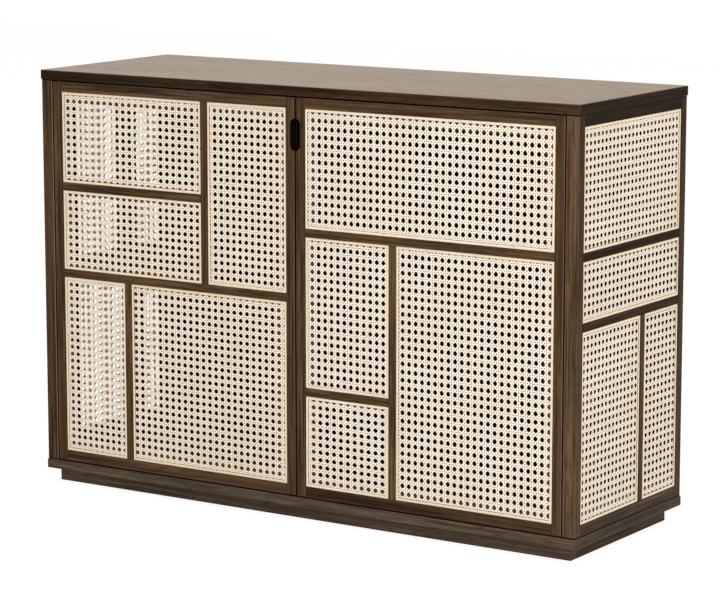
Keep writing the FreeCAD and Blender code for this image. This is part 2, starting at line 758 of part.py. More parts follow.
def assemble():
    """Every sub-part of the cabinet by its node name."""
    places = dowel_places()
    dowels = rods_at("dowel", places, size("dowel_radius"))
    bores = fuse("dowel_bores", rods_at("bore", places, size("dowel_radius") + size("dowel_play")))
    groove = back_groove()

    nodes = {}
    floor_waste = fuse("bottom_board_waste", [bores, groove]
                       + pivot_bores("lower_pivot_bore", FLOOR_TOP, upwards=True))
    ceiling_waste = fuse("top_board_waste", [bores, groove]
                         + pivot_bores("upper_pivot_bore", CEILING, upwards=False))
    nodes["bottom_board"] = cut("bottom_board_cut", board("bottom_blank", UNDERSIDE), floor_waste)
    nodes["top_board"] = cut("top_board_cut", board("top_blank", CEILING), ceiling_waste)
    for name, blank in plinth_boards().items():
        nodes[name] = cut(f"{name}_cut", blank, bores)

    side_waste = fuse("side_waste", [bores, groove])
    for leaf in (left_side_leaf(), right_side_leaf()):
        for name, piece in leaf.build().items():
            doweled = name.endswith("stile") or name == "lower_bar"
            nodes[f"{leaf.name}_{name}"] = (
                cut(f"{leaf.name}_{name}_cut", piece, side_waste) if doweled else piece)

    slot = finger_slot()
    for side, leaf in ((-1, left_door_leaf()), (1, right_door_leaf())):
        holes = bush_bores(f"{leaf.name}_bush_bores", side)
        tools = {"meeting_stile": slot, "hinge_stile": holes}
        for name, piece in leaf.build().items():
            tool = tools.get(name)
            nodes[f"{leaf.name}_{name}"] = (
                cut(f"{leaf.name}_{name}_cut", piece, tool) if tool else piece)
        nodes[f"{leaf.name}_bushes"] = bushes(f"{leaf.name}_bush", side)
        nodes[f"{leaf.name}_strike_plate"] = strike_plate(side)

    inside_y = (INSIDE_FRONT, BACK_PANEL_FRONT)
    half_shelf = size("shelf_thickness") / 2
    shelf_z = (SHELF_LEVEL - half_shelf, SHELF_LEVEL + half_shelf)
    fitted = {
        "partition": block("partition_board", (PARTITION_LEFT, PARTITION_RIGHT), inside_y,
                           (FLOOR_TOP, CEILING)),
        "left_shelf": block("left_shelf_board", (SIDE_INNER_LEFT, PARTITION_LEFT), inside_y,
                            shelf_z),
        "right_shelf": block("right_shelf_board", (PARTITION_RIGHT, SIDE_INNER_RIGHT), inside_y,
                             shelf_z),
    }
    for name, blank in fitted.items():
        nodes[name] = cut(f"{name}_cut", blank, bores)
    nodes["back_panel"] = back_panel()
    nodes["dowels"] = group("dowel_set", dowels)
    nodes["lower_pivots"] = pivots("lower_pivot", FLOOR_TOP, upwards=True)
    nodes["upper_pivots"] = pivots("upper_pivot", CEILING, upwards=False)
    nodes["door_catches"] = group("catch_pair", [catch(side) for side in SIDE_NAMES])
    return nodes


def check(nodes):
    """Stop if any object failed, or if a sub-part has no sound shape."""
    for item in doc.Objects:
        if any(state in item.State for state in FAILED_STATES):
            raise RuntimeError(f"{item.Name} failed: {item.State}")
    for name, item in nodes.items():
        if item.Shape.isNull() or not item.Shape.isValid() or not item.Shape.Solids:
            raise RuntimeError(f"{name} has no sound shape")


def export(nodes):
    """Write one STEP file for each sub-part."""
    os.makedirs("parts", exist_ok=True)
    for name, item in nodes.items():
        item.Label = name
        item.Shape.exportStep(f"parts/{name}.step")
        print(name, len(item.Shape.Solids), "solids", round(item.Shape.Volume), "mm3")


nodes = assemble()
doc.recompute()
check(nodes)
export(nodes)
print(len(nodes), "nodes")
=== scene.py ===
"""Record cabinet: its looks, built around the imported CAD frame.

The doors and sides are dark-stained wooden frames with panels of six-way woven cane. This script
weaves the cane, lays the reeds that hold it in its grooves, gives every CAD node and new piece its
finish, and sets the studio and the camera. All lengths are in metres unless a name ends in _mm.
"""
import logging
import math
from dataclasses import dataclass, field, replace
from enum import Enum
from typing import Any

import bpy
import numpy as np
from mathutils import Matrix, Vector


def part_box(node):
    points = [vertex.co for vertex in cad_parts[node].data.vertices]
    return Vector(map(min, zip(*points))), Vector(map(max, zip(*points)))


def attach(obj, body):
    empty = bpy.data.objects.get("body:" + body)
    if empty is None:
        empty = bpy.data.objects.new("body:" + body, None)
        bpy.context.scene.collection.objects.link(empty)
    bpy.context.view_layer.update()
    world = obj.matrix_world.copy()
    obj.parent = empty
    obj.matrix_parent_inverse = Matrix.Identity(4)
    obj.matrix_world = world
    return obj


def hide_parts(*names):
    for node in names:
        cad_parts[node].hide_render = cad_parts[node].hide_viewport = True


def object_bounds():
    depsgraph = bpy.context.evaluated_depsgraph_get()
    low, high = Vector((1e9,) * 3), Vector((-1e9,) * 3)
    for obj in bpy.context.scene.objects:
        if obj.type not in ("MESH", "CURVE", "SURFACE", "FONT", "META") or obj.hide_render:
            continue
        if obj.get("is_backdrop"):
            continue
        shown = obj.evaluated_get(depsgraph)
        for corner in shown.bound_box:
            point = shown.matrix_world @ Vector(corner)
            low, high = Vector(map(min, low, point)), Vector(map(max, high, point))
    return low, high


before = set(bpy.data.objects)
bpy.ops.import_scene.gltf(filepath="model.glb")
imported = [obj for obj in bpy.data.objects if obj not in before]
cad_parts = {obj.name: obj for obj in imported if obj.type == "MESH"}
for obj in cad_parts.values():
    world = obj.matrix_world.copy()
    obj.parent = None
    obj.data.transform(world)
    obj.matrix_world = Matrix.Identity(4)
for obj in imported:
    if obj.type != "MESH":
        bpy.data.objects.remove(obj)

LOG = logging.getLogger("record_cabinet")
MM = 0.001
SEED = 7
DOOR_FACE = 178.5 * MM
SIDE_FACE = 528.5 * MM
Pair = tuple[float, float]
Colour = Direction = tuple[float, float, float]
Socket = bpy.types.NodeSocket
Material = bpy.types.Material


# --------------------------------------------------------------------------- choices


class Grain(Enum):
    """The way that a member's grain runs, as the turn in degrees that lays it along X."""

    ALONG_X = (0.0, 0.0, 0.0)
    ALONG_Y = (0.0, 0.0, -90.0)
    ALONG_Z = (0.0, 90.0, 0.0)

    @property
    def axis(self) -> Direction:
        """The direction that the grain runs in."""
        return tuple(float(self.name.endswith(letter)) for letter in "XYZ")


class Facing(Enum):
    """The way that a framed leaf faces: its across, up and outward directions."""

    FRONT = ((1, 0, 0), (0, 0, 1), (0, -1, 0))
    RIGHT = ((0, 1, 0), (0, 0, 1), (1, 0, 0))
    LEFT = ((0, -1, 0), (0, 0, 1), (-1, 0, 0))

    @property
    def outward(self) -> Direction:
        """The direction that the leaf's outer face looks in."""
        return tuple(float(part) for part in self.value[2])

    def place(self, local: np.ndarray, face: float) -> np.ndarray:
        """Carries a leaf's own points into the shared frame.

        Args:
            local: Points as across, up and outward from the leaf's outer face.
            face: How far the outer face is from the frame's origin, along its outward direction.

        Returns:
            The same points in the shared frame: across * A + up * U + (outward + face) * O.
        """
        across, up, out = (np.array(axis, float) for axis in self.value)
        return local[:, :1] * across + local[:, 1:2] * up + (local[:, 2:] + face) * out


# --------------------------------------------------------------------------- meshes


@dataclass
class Surface:
    """Points, faces and point values of a mesh that is still in arrays."""

    points: np.ndarray
    faces: list[np.ndarray]
    values: dict[str, np.ndarray] = field(default_factory=dict)

    @staticmethod
    def joined(parts: "list[Surface]") -> "Surface":
        """Puts several surfaces into one.

        Args:
            parts: Surfaces that carry the same point values.

        Returns:
            One surface, each part's face numbers moved up by the points before it.
        """
        starts = np.cumsum([0] + [len(part.points) for part in parts])
        faces = [block + first for part, first in zip(parts, starts) for block in part.faces]
        values = {key: np.concatenate([part.values[key] for part in parts]) for key in parts[0].values}
        return Surface(np.concatenate([part.points for part in parts]), faces, values)

    def to_object(self, name: str, material: Material, sharp: float) -> bpy.types.Object:
        """Makes the Blender object, smooth apart from edges sharper than an angle.

        Args:
            name: The piece's name.
            material: Its finish.
            sharp: The angle between faces, in degrees, past which an edge stays sharp.

        Returns:
            The new object, at the origin, with its place in its mesh.
        """
        mesh = bpy.data.meshes.new(name)
        corners = np.concatenate([block.ravel() for block in self.faces])
        sides = np.concatenate([np.full(len(block), block.shape[1]) for block in self.faces])
        mesh.vertices.add(len(self.points))
        mesh.vertices.foreach_set("co", self.points.astype(np.float32).ravel())
        mesh.loops.add(len(corners))
        mesh.loops.foreach_set("vertex_index", corners.astype(np.int32))
        mesh.polygons.add(len(sides))
        mesh.polygons.foreach_set("loop_start", (np.cumsum(sides) - sides).astype(np.int32))
        for key, value in self.values.items():
            target = mesh.attributes.new(key, "FLOAT_VECTOR", "POINT").data
            target.foreach_set("vector", value.astype(np.float32).ravel())
        mesh.update(calc_edges=True)
        mesh.validate()
        mesh.polygons.foreach_set("use_smooth", np.ones(len(mesh.polygons), bool))
        mesh.set_sharp_from_angle(angle=math.radians(sharp))
        mesh.materials.append(material)
        made = bpy.data.objects.new(name, mesh)
        bpy.context.scene.collection.objects.link(made)
        return made


@dataclass(frozen=True)
class Strand:
    """One cane strand: its section, a flat back and a crowned face, and how it lies."""

    width: float = 1.85 * MM
    thickness: float = 0.38 * MM
    back: float = -0.45
    crown: float = 0.65
    half_pair: float = 1.5 * MM
    wander: float = 0.12 * MM

    @property
    def section(self) -> np.ndarray:
        """Its three corners as (sideways, outward), counter-clockwise seen from its end."""
        low, high = self.back * self.thickness, self.crown * self.thickness
        return np.array([(-self.width / 2, low), (self.width / 2, low), (0.0, high)])


@dataclass(frozen=True)
class Weave:
    """Six-way woven cane over one panel.

    Pairs of upright and level strands cross at whole mesh counts. Single strands run at a slant
    both ways, through the half counts between them, which leaves eight-sided holes.

    Attributes:
        across: The sheet's first and last edge, across the panel.
        up: Its lower and upper edge.
        meshes: How many meshes it counts across and up.
        first: How many meshes after the left and lower edge the first pair runs.
        strand: The strands' section.
        seed: The start of the random wander.
    """

    across: Pair
    up: Pair
    meshes: Pair
    first: Pair
    strand: Strand
    seed: int

    # A pair's rise and fall, in strand thicknesses.
    PAIR_RISE = 0.5
    # Half the length of a slanting strand's ramp and the places where it bends, in meshes.
    SLANT_BEND = 0.08
    SLANT_NODES = (0.17, 0.33, 0.67, 0.83)
    # The shortest run that is woven, in meshes, and a pair's least way from the rim, in widths.
    SHORTEST_RUN = 0.2
    RIM_SHARE = 0.3
    # The length and the strength of each slow sway.
    SWAYS = ((71 * MM, 1.0), (23 * MM, 0.6))

    @property
    def pitch(self) -> np.ndarray:
        """One mesh's width and height."""
        return np.array([np.ptp(self.across) / self.meshes[0], np.ptp(self.up) / self.meshes[1]])

    @property
    def origin(self) -> np.ndarray:
        """The crossing of the first two pairs."""
        return np.array([self.across[0], self.up[0]]) + np.array(self.first) * self.pitch

    def limits(self, margin: float) -> np.ndarray:
        """The sheet's edges in mesh counts from the origin.

        Args:
            margin: How far inside the sheet's outline the strands end.

        Returns:
            Rows for across and up, each with its lowest and highest count.
        """
        edges = np.array([self.across, self.up]) + np.array([margin, -margin])
        return (edges - self.origin[:, None]) / self.pitch[:, None]

    def pair_height(self, count: np.ndarray, half: float) -> np.ndarray:
        """A paired strand's rise from -1 to 1: under one of the crossing pair and over the other.

        With x the distance to the nearest whole count, it grows as x / half up to the crossing
        strand, then falls evenly to 0 at the half count.

        Args:
            count: Places along the strand, in mesh counts.
            half: How far the crossing pair's strands are from their whole count.

        Returns:
            The rise at each place.
        """
        near = count - np.round(count)
        size = np.minimum(np.abs(near) / half, (0.5 - np.abs(near)) / (0.5 - half))
        return np.sign(near) * size

    def slant_height(self, count: np.ndarray) -> np.ndarray:
        """A slanting strand's rise: -1 past whole counts, 1 past half counts, a ramp between."""
        from_half = np.abs(np.mod(count, 1.0) - 0.5)
        return np.clip((0.25 - from_half) / self.SLANT_BEND, -1.0, 1.0)

    def sweep(self, start: np.ndarray, stop: np.ndarray, nodes: np.ndarray, line: Any,
              along: np.ndarray, random: np.random.Generator) -> Surface:
        """Carries the strand's section along a family of straight runs.

        Each run's stations are the nodes clipped to its own start and stop. A corner lies at
        station + sideways * S + outward * H, S square to the run in the sheet and H the rise.

        Args:
            start: Where each run starts, along the family's own count.
            stop: Where it stops.
            nodes: Counts at which every run may bend, in rising order.
            line: Gives across, up (in counts) and rise (-1 to 1) for runs by stations.
            along: The runs' direction in the sheet, in metres.
            random: Gives the wander and the tone.

        Returns:
            The closed strands, with their length, side and tone as point values.
        """
        rows = np.flatnonzero(stop - start > self.SHORTEST_RUN)
        start, stop = start[rows][:, None], stop[rows][:, None]
        count = np.clip(nodes[None, :], start, stop)
        first = np.searchsorted(nodes, start[:, 0], "right") - 1
        last = np.searchsorted(nodes, stop[:, 0], "left")
        across, up, rise = line(count, rows[:, None])
        centre = np.stack([across, up], -1) * self.pitch + self.origin
        run = along / np.linalg.norm(along)
        side = np.array([-run[1], run[0]])
        length = (centre - self.origin) @ run
        phase = random.uniform(0, 2 * math.pi, (2, len(rows), 1))
        sway = sum(size * np.sin(length / wave + ahead) for (wave, size), ahead in zip(self.SWAYS, phase))
        centre = centre + (self.strand.wander * sway)[..., None] * side
        section = self.strand.section
        flat = centre[:, :, None, :] + section[None, None, :, :1] * side
        height = rise[:, :, None] * self.strand.thickness + section[None, None, :, 1]
        points = np.concatenate([flat, height[..., None]], -1)
        stations = np.arange(len(nodes))[None, :]
        used = (stations >= first[:, None]) & (stations <= last[:, None])
        number = np.cumsum(used.ravel()).reshape(used.shape) - 1
        corner = number[:, :, None] * 3 + np.arange(3)
        run_on = used[:, :-1] & used[:, 1:]
        near, far = corner[:, :-1][run_on], corner[:, 1:][run_on]
        turn = np.roll(np.arange(3), -1)
        quads = np.stack([near, near[:, turn], far[:, turn], far], -1).reshape(-1, 4)
        order = np.arange(len(rows))
        ends = np.concatenate([corner[order, first][:, ::-1], corner[order, last]])
        tone = random.uniform(0, 1, (len(rows), 1, 1))
        values = np.stack(np.broadcast_arrays(length[:, :, None], section[:, 0], tone), -1)
        return Surface(points[used].reshape(-1, 3), [quads, ends], {"strand": values[used].reshape(-1, 3)})

    def pairs(self, axis: int, limits: np.ndarray, random: np.random.Generator) -> Surface:
        """Weaves the upright pairs (axis 0) or the level pairs (axis 1).

        Args:
            axis: The way that the pairs follow each other: 0 for across and 1 for up.
            limits: The sheet's edges in mesh counts.
            random: Gives the wander and the tone.

        Returns:
            The family's strands.
        """
        (low, high), (start, stop) = limits[axis], limits[1 - axis]
        half = self.strand.half_pair / self.pitch
        whole = np.arange(math.floor(low), math.ceil(high) + 1)
        place = np.concatenate([whole - half[axis], whole + half[axis]])
        over = np.repeat([1.0, -1.0], len(whole)) * (1 if axis == 0 else -1)
        rim = self.RIM_SHARE * self.strand.width / self.pitch[axis]
        inside = (place > low + rim) & (place < high - rim)
        place, over = place[inside], over[inside]
        cross = half[1 - axis]
        base = np.arange(math.floor(start) - 1, math.ceil(stop) + 2)
        bends = (base[:, None] + np.array([-cross, cross, 0.5])).ravel()

        def line(count: np.ndarray, row: np.ndarray) -> tuple[np.ndarray, ...]:
            """Places a paired strand, straight in the sheet and bent square to it.

            Args:
                count: Places along the strands, in mesh counts.
                row: The strands' numbers.

            Returns:
                Counts across and up, and the rise.
            """
            fixed = np.broadcast_to(place[row], count.shape)
            flat = (fixed, count) if axis == 0 else (count, fixed)
            return (*flat, self.PAIR_RISE * over[row] * self.pair_height(count, cross))

        span = np.ones(len(place))
        along = np.array([0.0, 1.0]) if axis == 0 else np.array([-1.0, 0.0])
        return self.sweep(start * span, stop * span, bends, line, along * self.pitch, random)

    def slants(self, lean: int, limits: np.ndarray, random: np.random.Generator) -> Surface:
        """Weaves the strands that rise to the right (lean 1) or to the left (lean -1).

        Args:
            lean: The way that they slant.
            limits: The sheet's edges in mesh counts.
            random: Gives the wander and the tone.

        Returns:
            The family's strands.
        """
        (left, right), (low, high) = limits
        base = np.arange(math.floor(left) - 1, math.ceil(right) + 2)
        bends = (base[:, None] + np.array(self.SLANT_NODES)).ravel()
        ends = (left - high, right - low) if lean > 0 else (left + low, right + high)
        shift = np.arange(math.floor(ends[0]) - 1, math.ceil(ends[1]) + 1) + 0.5
        at_low, at_high = (low + shift, high + shift) if lean > 0 else (shift - high, shift - low)

        def line(count: np.ndarray, row: np.ndarray) -> tuple[np.ndarray, ...]:
            """A slanting strand's counts and rise."""
            return count, lean * (count - shift[row]), lean * self.slant_height(count)

        along = np.array([1.0, float(lean)]) * self.pitch
        return self.sweep(np.maximum(left, at_low), np.minimum(right, at_high), bends, line, along, random)

    def surface(self, margin: float) -> Surface:
        """Weaves the sheet.

        Args:
            margin: How far inside the sheet's outline the strands end.

        Returns:
            All four families of strands, around the sheet's middle plane.
        """
        random = np.random.default_rng(self.seed)
        limits = self.limits(margin)
        families = [self.pairs(axis, limits, random) for axis in (0, 1)]
        return Surface.joined(families + [self.slants(lean, limits, random) for lean in (1, -1)])


@dataclass(frozen=True)
class ReedRing:
    """The crowned reed that presses a sheet's edge into its groove, mitred at its corners."""

    across: Pair
    up: Pair
    width: float
    crest: float
    foot: float
    seed: int
    rise: float = 1.1 * MM
    step: float = 9 * MM
    wander: float = 0.10 * MM

    ARC_POINTS = 9
    # How far each straight side leans in at its foot, in widths.
    FOOT_INSET = 0.12
    # How many times each slow wave of the crest comes round the ring.
    WAVES = (5, 13, 29)

    def surface(self) -> Surface:
        """Carries the reed's profile round the opening.

        The profile is half an ellipse, as wide as the reed, on two straight sides. Each of its
        points draws a rectangle, set in by its own inset, at its own depth: the mitres follow.

        Returns:
            One closed ring.
        """
        random = np.random.default_rng(self.seed)
        angle = np.linspace(math.pi, 0.0, self.ARC_POINTS)
        arc = 0.5 * self.width * (1 + np.cos(angle))
        inset = np.concatenate([[self.FOOT_INSET * self.width], arc, [(1 - self.FOOT_INSET) * self.width]])
        top = self.crest + self.rise - self.rise * np.sin(angle)
        depth = np.concatenate([[self.foot], top, [self.foot]])
        sizes = np.array([np.ptp(self.across), np.ptp(self.up)])
        cuts = np.maximum(2, np.round(sizes / self.step).astype(int))
        corners = np.array([(0, 0), (1, 0), (1, 1), (0, 1)], float)
        share = np.concatenate([
            corners[k] + np.linspace(0, 1, cuts[k % 2], endpoint=False)[:, None]
            * (corners[(k + 1) % 4] - corners[k]) for k in range(4)])
        low = np.array([self.across[0], self.up[0]])
        flat = low + inset[:, None, None] + share[None] * (sizes - 2 * inset[:, None, None])
        turn = 2 * math.pi * np.arange(len(share)) / len(share)
        phase = random.uniform(0, 2 * math.pi, len(self.WAVES))
        sway = sum(np.sin(wave * turn + ahead) for wave, ahead in zip(self.WAVES, phase))
        crown = np.concatenate([[0.0], np.sin(angle), [0.0]])
        height = -depth[:, None] - self.wander * (1.5 + 0.5 * sway[None]) * crown[:, None]
        points = np.concatenate([flat, height[..., None]], -1)
        rows, columns = points.shape[:2]
        number = np.arange(rows * columns).reshape(rows, columns)
        ahead, beyond = np.roll(number, -1, 0), np.roll(number, -1, 1)
        quads = np.stack([number, beyond, np.roll(ahead, -1, 1), ahead], -1).reshape(-1, 4)
        around = np.arange(columns) * self.step
        values = np.stack(np.broadcast_arrays(around, inset[:, None], random.uniform()), -1)
        return Surface(points.reshape(-1, 3), [quads], {"strand": values.reshape(-1, 3)})


# --------------------------------------------------------------------------- node trees


class Wiring:
    """Adds nodes to one tree and joins them."""

    def __init__(self, tree: bpy.types.NodeTree) -> None:
        """Starts on a tree."""
        self.tree = tree

    def feed(self, node: bpy.types.Node, inputs: dict[Any, Any]) -> None:
        """Links sockets to a node's inputs and sets its other inputs.

        Args:
            node: The node.
            inputs: Output sockets or values by the input's name or number; a colour of three
                numbers gets an alpha of 1.
        """
        for key, value in inputs.items():
            if isinstance(value, Socket):
                self.tree.links.new(value, node.inputs[key])
            elif node.inputs[key].type == "RGBA":
                node.inputs[key].default_value = (*value, 1.0)
            else:
                node.inputs[key].default_value = value

    def node(self, kind: str, inputs: dict[Any, Any] | None = None, **settings: Any) -> bpy.types.Node:
        """Adds a node.

        Args:
            kind: Blender's name for it.
            inputs: Values or output sockets for its inputs, by name or number.
            settings: Its properties.

        Returns:
            The node.
        """
        made = self.tree.nodes.new(kind)
        for key, value in settings.items():
            setattr(made, key, value)
        self.feed(made, inputs or {})
        return made

    def math(self, operation: str, *values: Any) -> Socket:
        """The result of a Math node on one, two or three values."""
        return self.node("ShaderNodeMath", dict(enumerate(values)), operation=operation).outputs[0]

    def product(self, first: Any, second: Any) -> Socket:
        """The product of two numbers."""
        return self.math("MULTIPLY", first, second)

    def vector(self, operation: str, *values: Any) -> Socket:
        """The result of a Vector Math node."""
        return self.node("ShaderNodeVectorMath", dict(enumerate(values)), operation=operation).outputs[0]

    def dot(self, first: Any, second: Any) -> Socket:
        """The dot product of two vectors."""
        inputs = {0: first, 1: second}
        return self.node("ShaderNodeVectorMath", inputs, operation="DOT_PRODUCT").outputs["Value"]

    def split(self, vector: Socket) -> tuple[Socket, ...]:
        """A vector's three numbers."""
        return tuple(self.node("ShaderNodeSeparateXYZ", {0: vector}).outputs)

    def joined(self, x: Socket, y: Socket, z: Socket) -> Socket:
        """A vector of three numbers."""
        return self.node("ShaderNodeCombineXYZ", {0: x, 1: y, 2: z}).outputs[0]

    def noise(self, vector: Socket, stretch: Any, detail: float, rough: float = 0.5,
              warp: float = 0.0) -> Socket:
        """Noise on coordinates stretched along each axis.

        Args:
            vector: The coordinates.
            stretch: Features for each metre along X, Y and Z, or one number for all three.
            detail: How many finer layers it has.
            rough: How strong they are.
            warp: How far it is distorted.

        Returns:
            A value from 0 to 1.
        """
        moved = self.vector("MULTIPLY", vector, stretch if isinstance(stretch, tuple) else (stretch,) * 3)
        inputs = {"Vector": moved, "Scale": 1.0, "Detail": detail, "Roughness": rough, "Distortion": warp}
        return self.node("ShaderNodeTexNoise", inputs).outputs[0]

    def ramp(self, value: Socket, low: float, high: float, to_low: float = 0.0,
             to_high: float = 1.0) -> Socket:
        """A value carried evenly, and clamped, from one range to another."""
        inputs = {"Value": value, "From Min": low, "From Max": high, "To Min": to_low, "To Max": to_high}
        return self.node("ShaderNodeMapRange", inputs, clamp=True).outputs[0]

    def blend(self, share: Any, first: Any, second: Any) -> Socket:
        """A mix of two colours by a share from 0 to 1."""
        return self.node("ShaderNodeMix", {0: share, 6: first, 7: second}, data_type="RGBA").outputs[2]

    def looks(self, normal: Any, way: Any, either: bool = False) -> Socket:
        """1 where a face looks along a direction, or either way along it, and 0 where it looks aside."""
        along = self.dot(normal, way)
        return self.ramp(self.math("ABSOLUTE", along) if either else along, 0.6, 0.9)


class Effect:
    """A shader node group, made once and placed in many materials.

    Its inputs are given with their kinds of socket, and each output is a number.
    """

    name = ""
    inputs: dict[str, str] = {}
    outputs: tuple[str, ...] = ()

    @classmethod
    def tree(cls) -> bpy.types.NodeTree:
        """Builds the group's node tree at its first use.

        Returns:
            The tree.
        """
        found = bpy.data.node_groups.get(cls.name)
        if found:
            return found
        tree = bpy.data.node_groups.new(cls.name, "ShaderNodeTree")
        for name, kind in cls.inputs.items():
            tree.interface.new_socket(name=name, in_out="INPUT", socket_type=f"NodeSocket{kind}")
        for name in cls.outputs:
            tree.interface.new_socket(name=name, in_out="OUTPUT", socket_type="NodeSocketFloat")
        wiring = Wiring(tree)
        given = wiring.node("NodeGroupInput").outputs
        wiring.node("NodeGroupOutput", cls.results(wiring, given))
        return tree

    @classmethod
    def results(cls, wiring: Wiring, given: Any) -> dict[str, Socket]:
        """Builds the group's inside.

        Args:
            wiring: The group's wiring.
            given: Its inputs.

        Returns:
            Its outputs by name.
        """
        raise NotImplementedError

    @classmethod
    def place(cls, wiring: Wiring, inputs: dict[str, Any]) -> Any:
        """Puts the group into a material and gives its outputs."""
        return wiring.node("ShaderNodeGroup", inputs, node_tree=cls.tree()).outputs


class WoodGrain(Effect):
    """Long streaks, a slow figure and open pores along the vector's X."""

    name = "wood_grain"
    inputs = {"Vector": "Vector", "Figure": "Float"}
    outputs = ("Tone", "Warmth", "Pores", "Height")
    FIGURE = (1.6, 17, 17)
    STREAKS = (4.5, 190, 190)
    FIBRES = (14, 620, 620)
    WARM_BANDS = (2.2, 34, 34)
    DASHES = (38, 900, 900)

    @classmethod
    def results(cls, wiring: Wiring, given: Any) -> dict[str, Socket]:
        """Tone adds three noises, each stretched 10 to 45 times along the grain.

        Args:
            wiring: The group's wiring.
            given: Its inputs.

        Returns:
            Its outputs by name.
        """
        at = given["Vector"]
        figure = wiring.noise(at, cls.FIGURE, 2.0, 0.5, 0.7)
        streaks = wiring.noise(at, cls.STREAKS, 4.0, 0.7)
        fibres = wiring.noise(at, cls.FIBRES, 1.0)
        slow = wiring.product(wiring.ramp(figure, 0.3, 0.7), given["Figure"])
        tone = wiring.math("ADD", slow, wiring.ramp(streaks, 0.34, 0.66, -0.4, 0.85))
        tone = wiring.math("ADD", tone, wiring.ramp(fibres, 0.3, 0.7, -0.2, 0.2))
        warmth = wiring.ramp(wiring.noise(at, cls.WARM_BANDS, 1.0), 0.42, 0.66)
        dashes = wiring.ramp(wiring.noise(at, cls.DASHES, 1.0), 0.58, 0.68)
        pores = wiring.product(dashes, wiring.ramp(streaks, 0.35, 0.6, 0.15, 1.0))
        height = wiring.math("SUBTRACT", wiring.ramp(streaks, 0.2, 0.8, 0.0, 0.5), pores)
        return {"Tone": wiring.ramp(tone, 0.0, 1.0), "Warmth": warmth, "Pores": pores, "Height": height}


class EdgeWearHighlight(Effect):
    """A mask that is 1 along a member's arrises and 0 away from them: wear, and a painted highlight."""

    name = "edge_wear"
    inputs = {"Vector": "Vector", "Centre": "Vector", "Half Size": "Vector", "Width": "Float",
              "Lean": "Float"}
    outputs = ("Wear",)
    SPECKLE = 160

    @classmethod
    def results(cls, wiring: Wiring, given: Any) -> dict[str, Socket]:
        """With q = |P - centre| - half size, the middle one of q's numbers is 0 on an arris.

        The lean is how much less of the wear and painted highlight the arrises left of the centre get.

        Args:
            wiring: The group's wiring.
            given: Its inputs.

        Returns:
            Its outputs by name.
        """
        offset = wiring.vector("SUBTRACT", given["Vector"], given["Centre"])
        depth = wiring.vector("SUBTRACT", wiring.vector("ABSOLUTE", offset), given["Half Size"])
        x, y, z = wiring.split(depth)
        inner = wiring.math("MINIMUM", wiring.math("MAXIMUM", x, y), z)
        middle = wiring.math("MAXIMUM", wiring.math("MINIMUM", x, y), inner)
        share = wiring.math("ADD", wiring.math("DIVIDE", middle, given["Width"]), 1.0)
        speckle = wiring.ramp(wiring.noise(given["Vector"], cls.SPECKLE, 3.0), 0.35, 0.65, 0.35, 1.0)
        left = wiring.ramp(wiring.split(offset)[0], -MM, MM, 1.0, 0.0)
        kept = wiring.math("SUBTRACT", 1.0, wiring.product(left, given["Lean"]))
        return {"Wear": wiring.product(wiring.product(wiring.ramp(share, 0.0, 1.0), speckle), kept)}


class Reveal(Effect):
    """Masks of the faces inside gaps, which get painted shade, and of the bare ledge behind the cane."""

    name = "reveal"
    inputs = {"Vector": "Vector", "Normal": "Vector", "Half Size": "Vector", "Outward": "Vector",
              "Stop": "Float", "Ledge Depth": "Float"}
    outputs = ("Shade", "Ledge")
    LIP = (0.1 * MM, 0.6 * MM)
    FADE = 0.8 * MM
    LEDGE_BAND = (0.2 * MM, 0.5 * MM)

    @classmethod
    def results(cls, wiring: Wiring, given: Any) -> dict[str, Socket]:
        """The depth is the least of half size - |P| in x and y; it counts from a lip up to the stop.

        Faces that look outward are never shaded. The ledge is where the depth is the ledge's own
        and the face looks outward.

        Args:
            wiring: The group's wiring.
            given: Its inputs.

        Returns:
            Its outputs by name.
        """
        away = wiring.vector("ABSOLUTE", given["Vector"])
        x, y, _ = wiring.split(wiring.vector("SUBTRACT", given["Half Size"], away))
        depth = wiring.math("MINIMUM", x, y)
        past_lip = wiring.ramp(depth, *cls.LIP)
        short = wiring.ramp(wiring.math("SUBTRACT", given["Stop"], depth), 0.0, cls.FADE)
        off = wiring.math("ABSOLUTE", wiring.math("SUBTRACT", depth, given["Ledge Depth"]))
        level = wiring.ramp(off, *cls.LEDGE_BAND, 1.0, 0.0)
        outer = wiring.looks(given["Normal"], given["Outward"])
        hidden = wiring.product(wiring.product(past_lip, short), wiring.math("SUBTRACT", 1.0, outer))
        return {"Shade": hidden, "Ledge": wiring.product(level, outer)}


class JointLine(Effect):
    """A mask of the fine dark line along a leaf's outline, where it meets its neighbours: a dark joint,
    widened with painted shade of the gap.
    """

    name = "joint_line"
    inputs = {"Vector": "Vector", "Centre": "Vector", "Half Size": "Vector", "Line": "Float"}
    outputs = ("Mask",)
    BLUR = 0.1 * MM

    @classmethod
    def results(cls, wiring: Wiring, given: Any) -> dict[str, Socket]:
        """The line is where the least of half size - |P - centre| is under its width.

        Args:
            wiring: The group's wiring.
            given: Its inputs.

        Returns:
            Its outputs by name.
        """
        away = wiring.vector("ABSOLUTE", wiring.vector("SUBTRACT", given["Vector"], given["Centre"]))
        x, y, z = wiring.split(wiring.vector("SUBTRACT", given["Half Size"], away))
        depth = wiring.math("MINIMUM", wiring.math("MINIMUM", x, y), z)
        past = wiring.math("SUBTRACT", depth, given["Line"])
        return {"Mask": wiring.ramp(past, -cls.BLUR, cls.BLUR, 1.0, 0.0)}


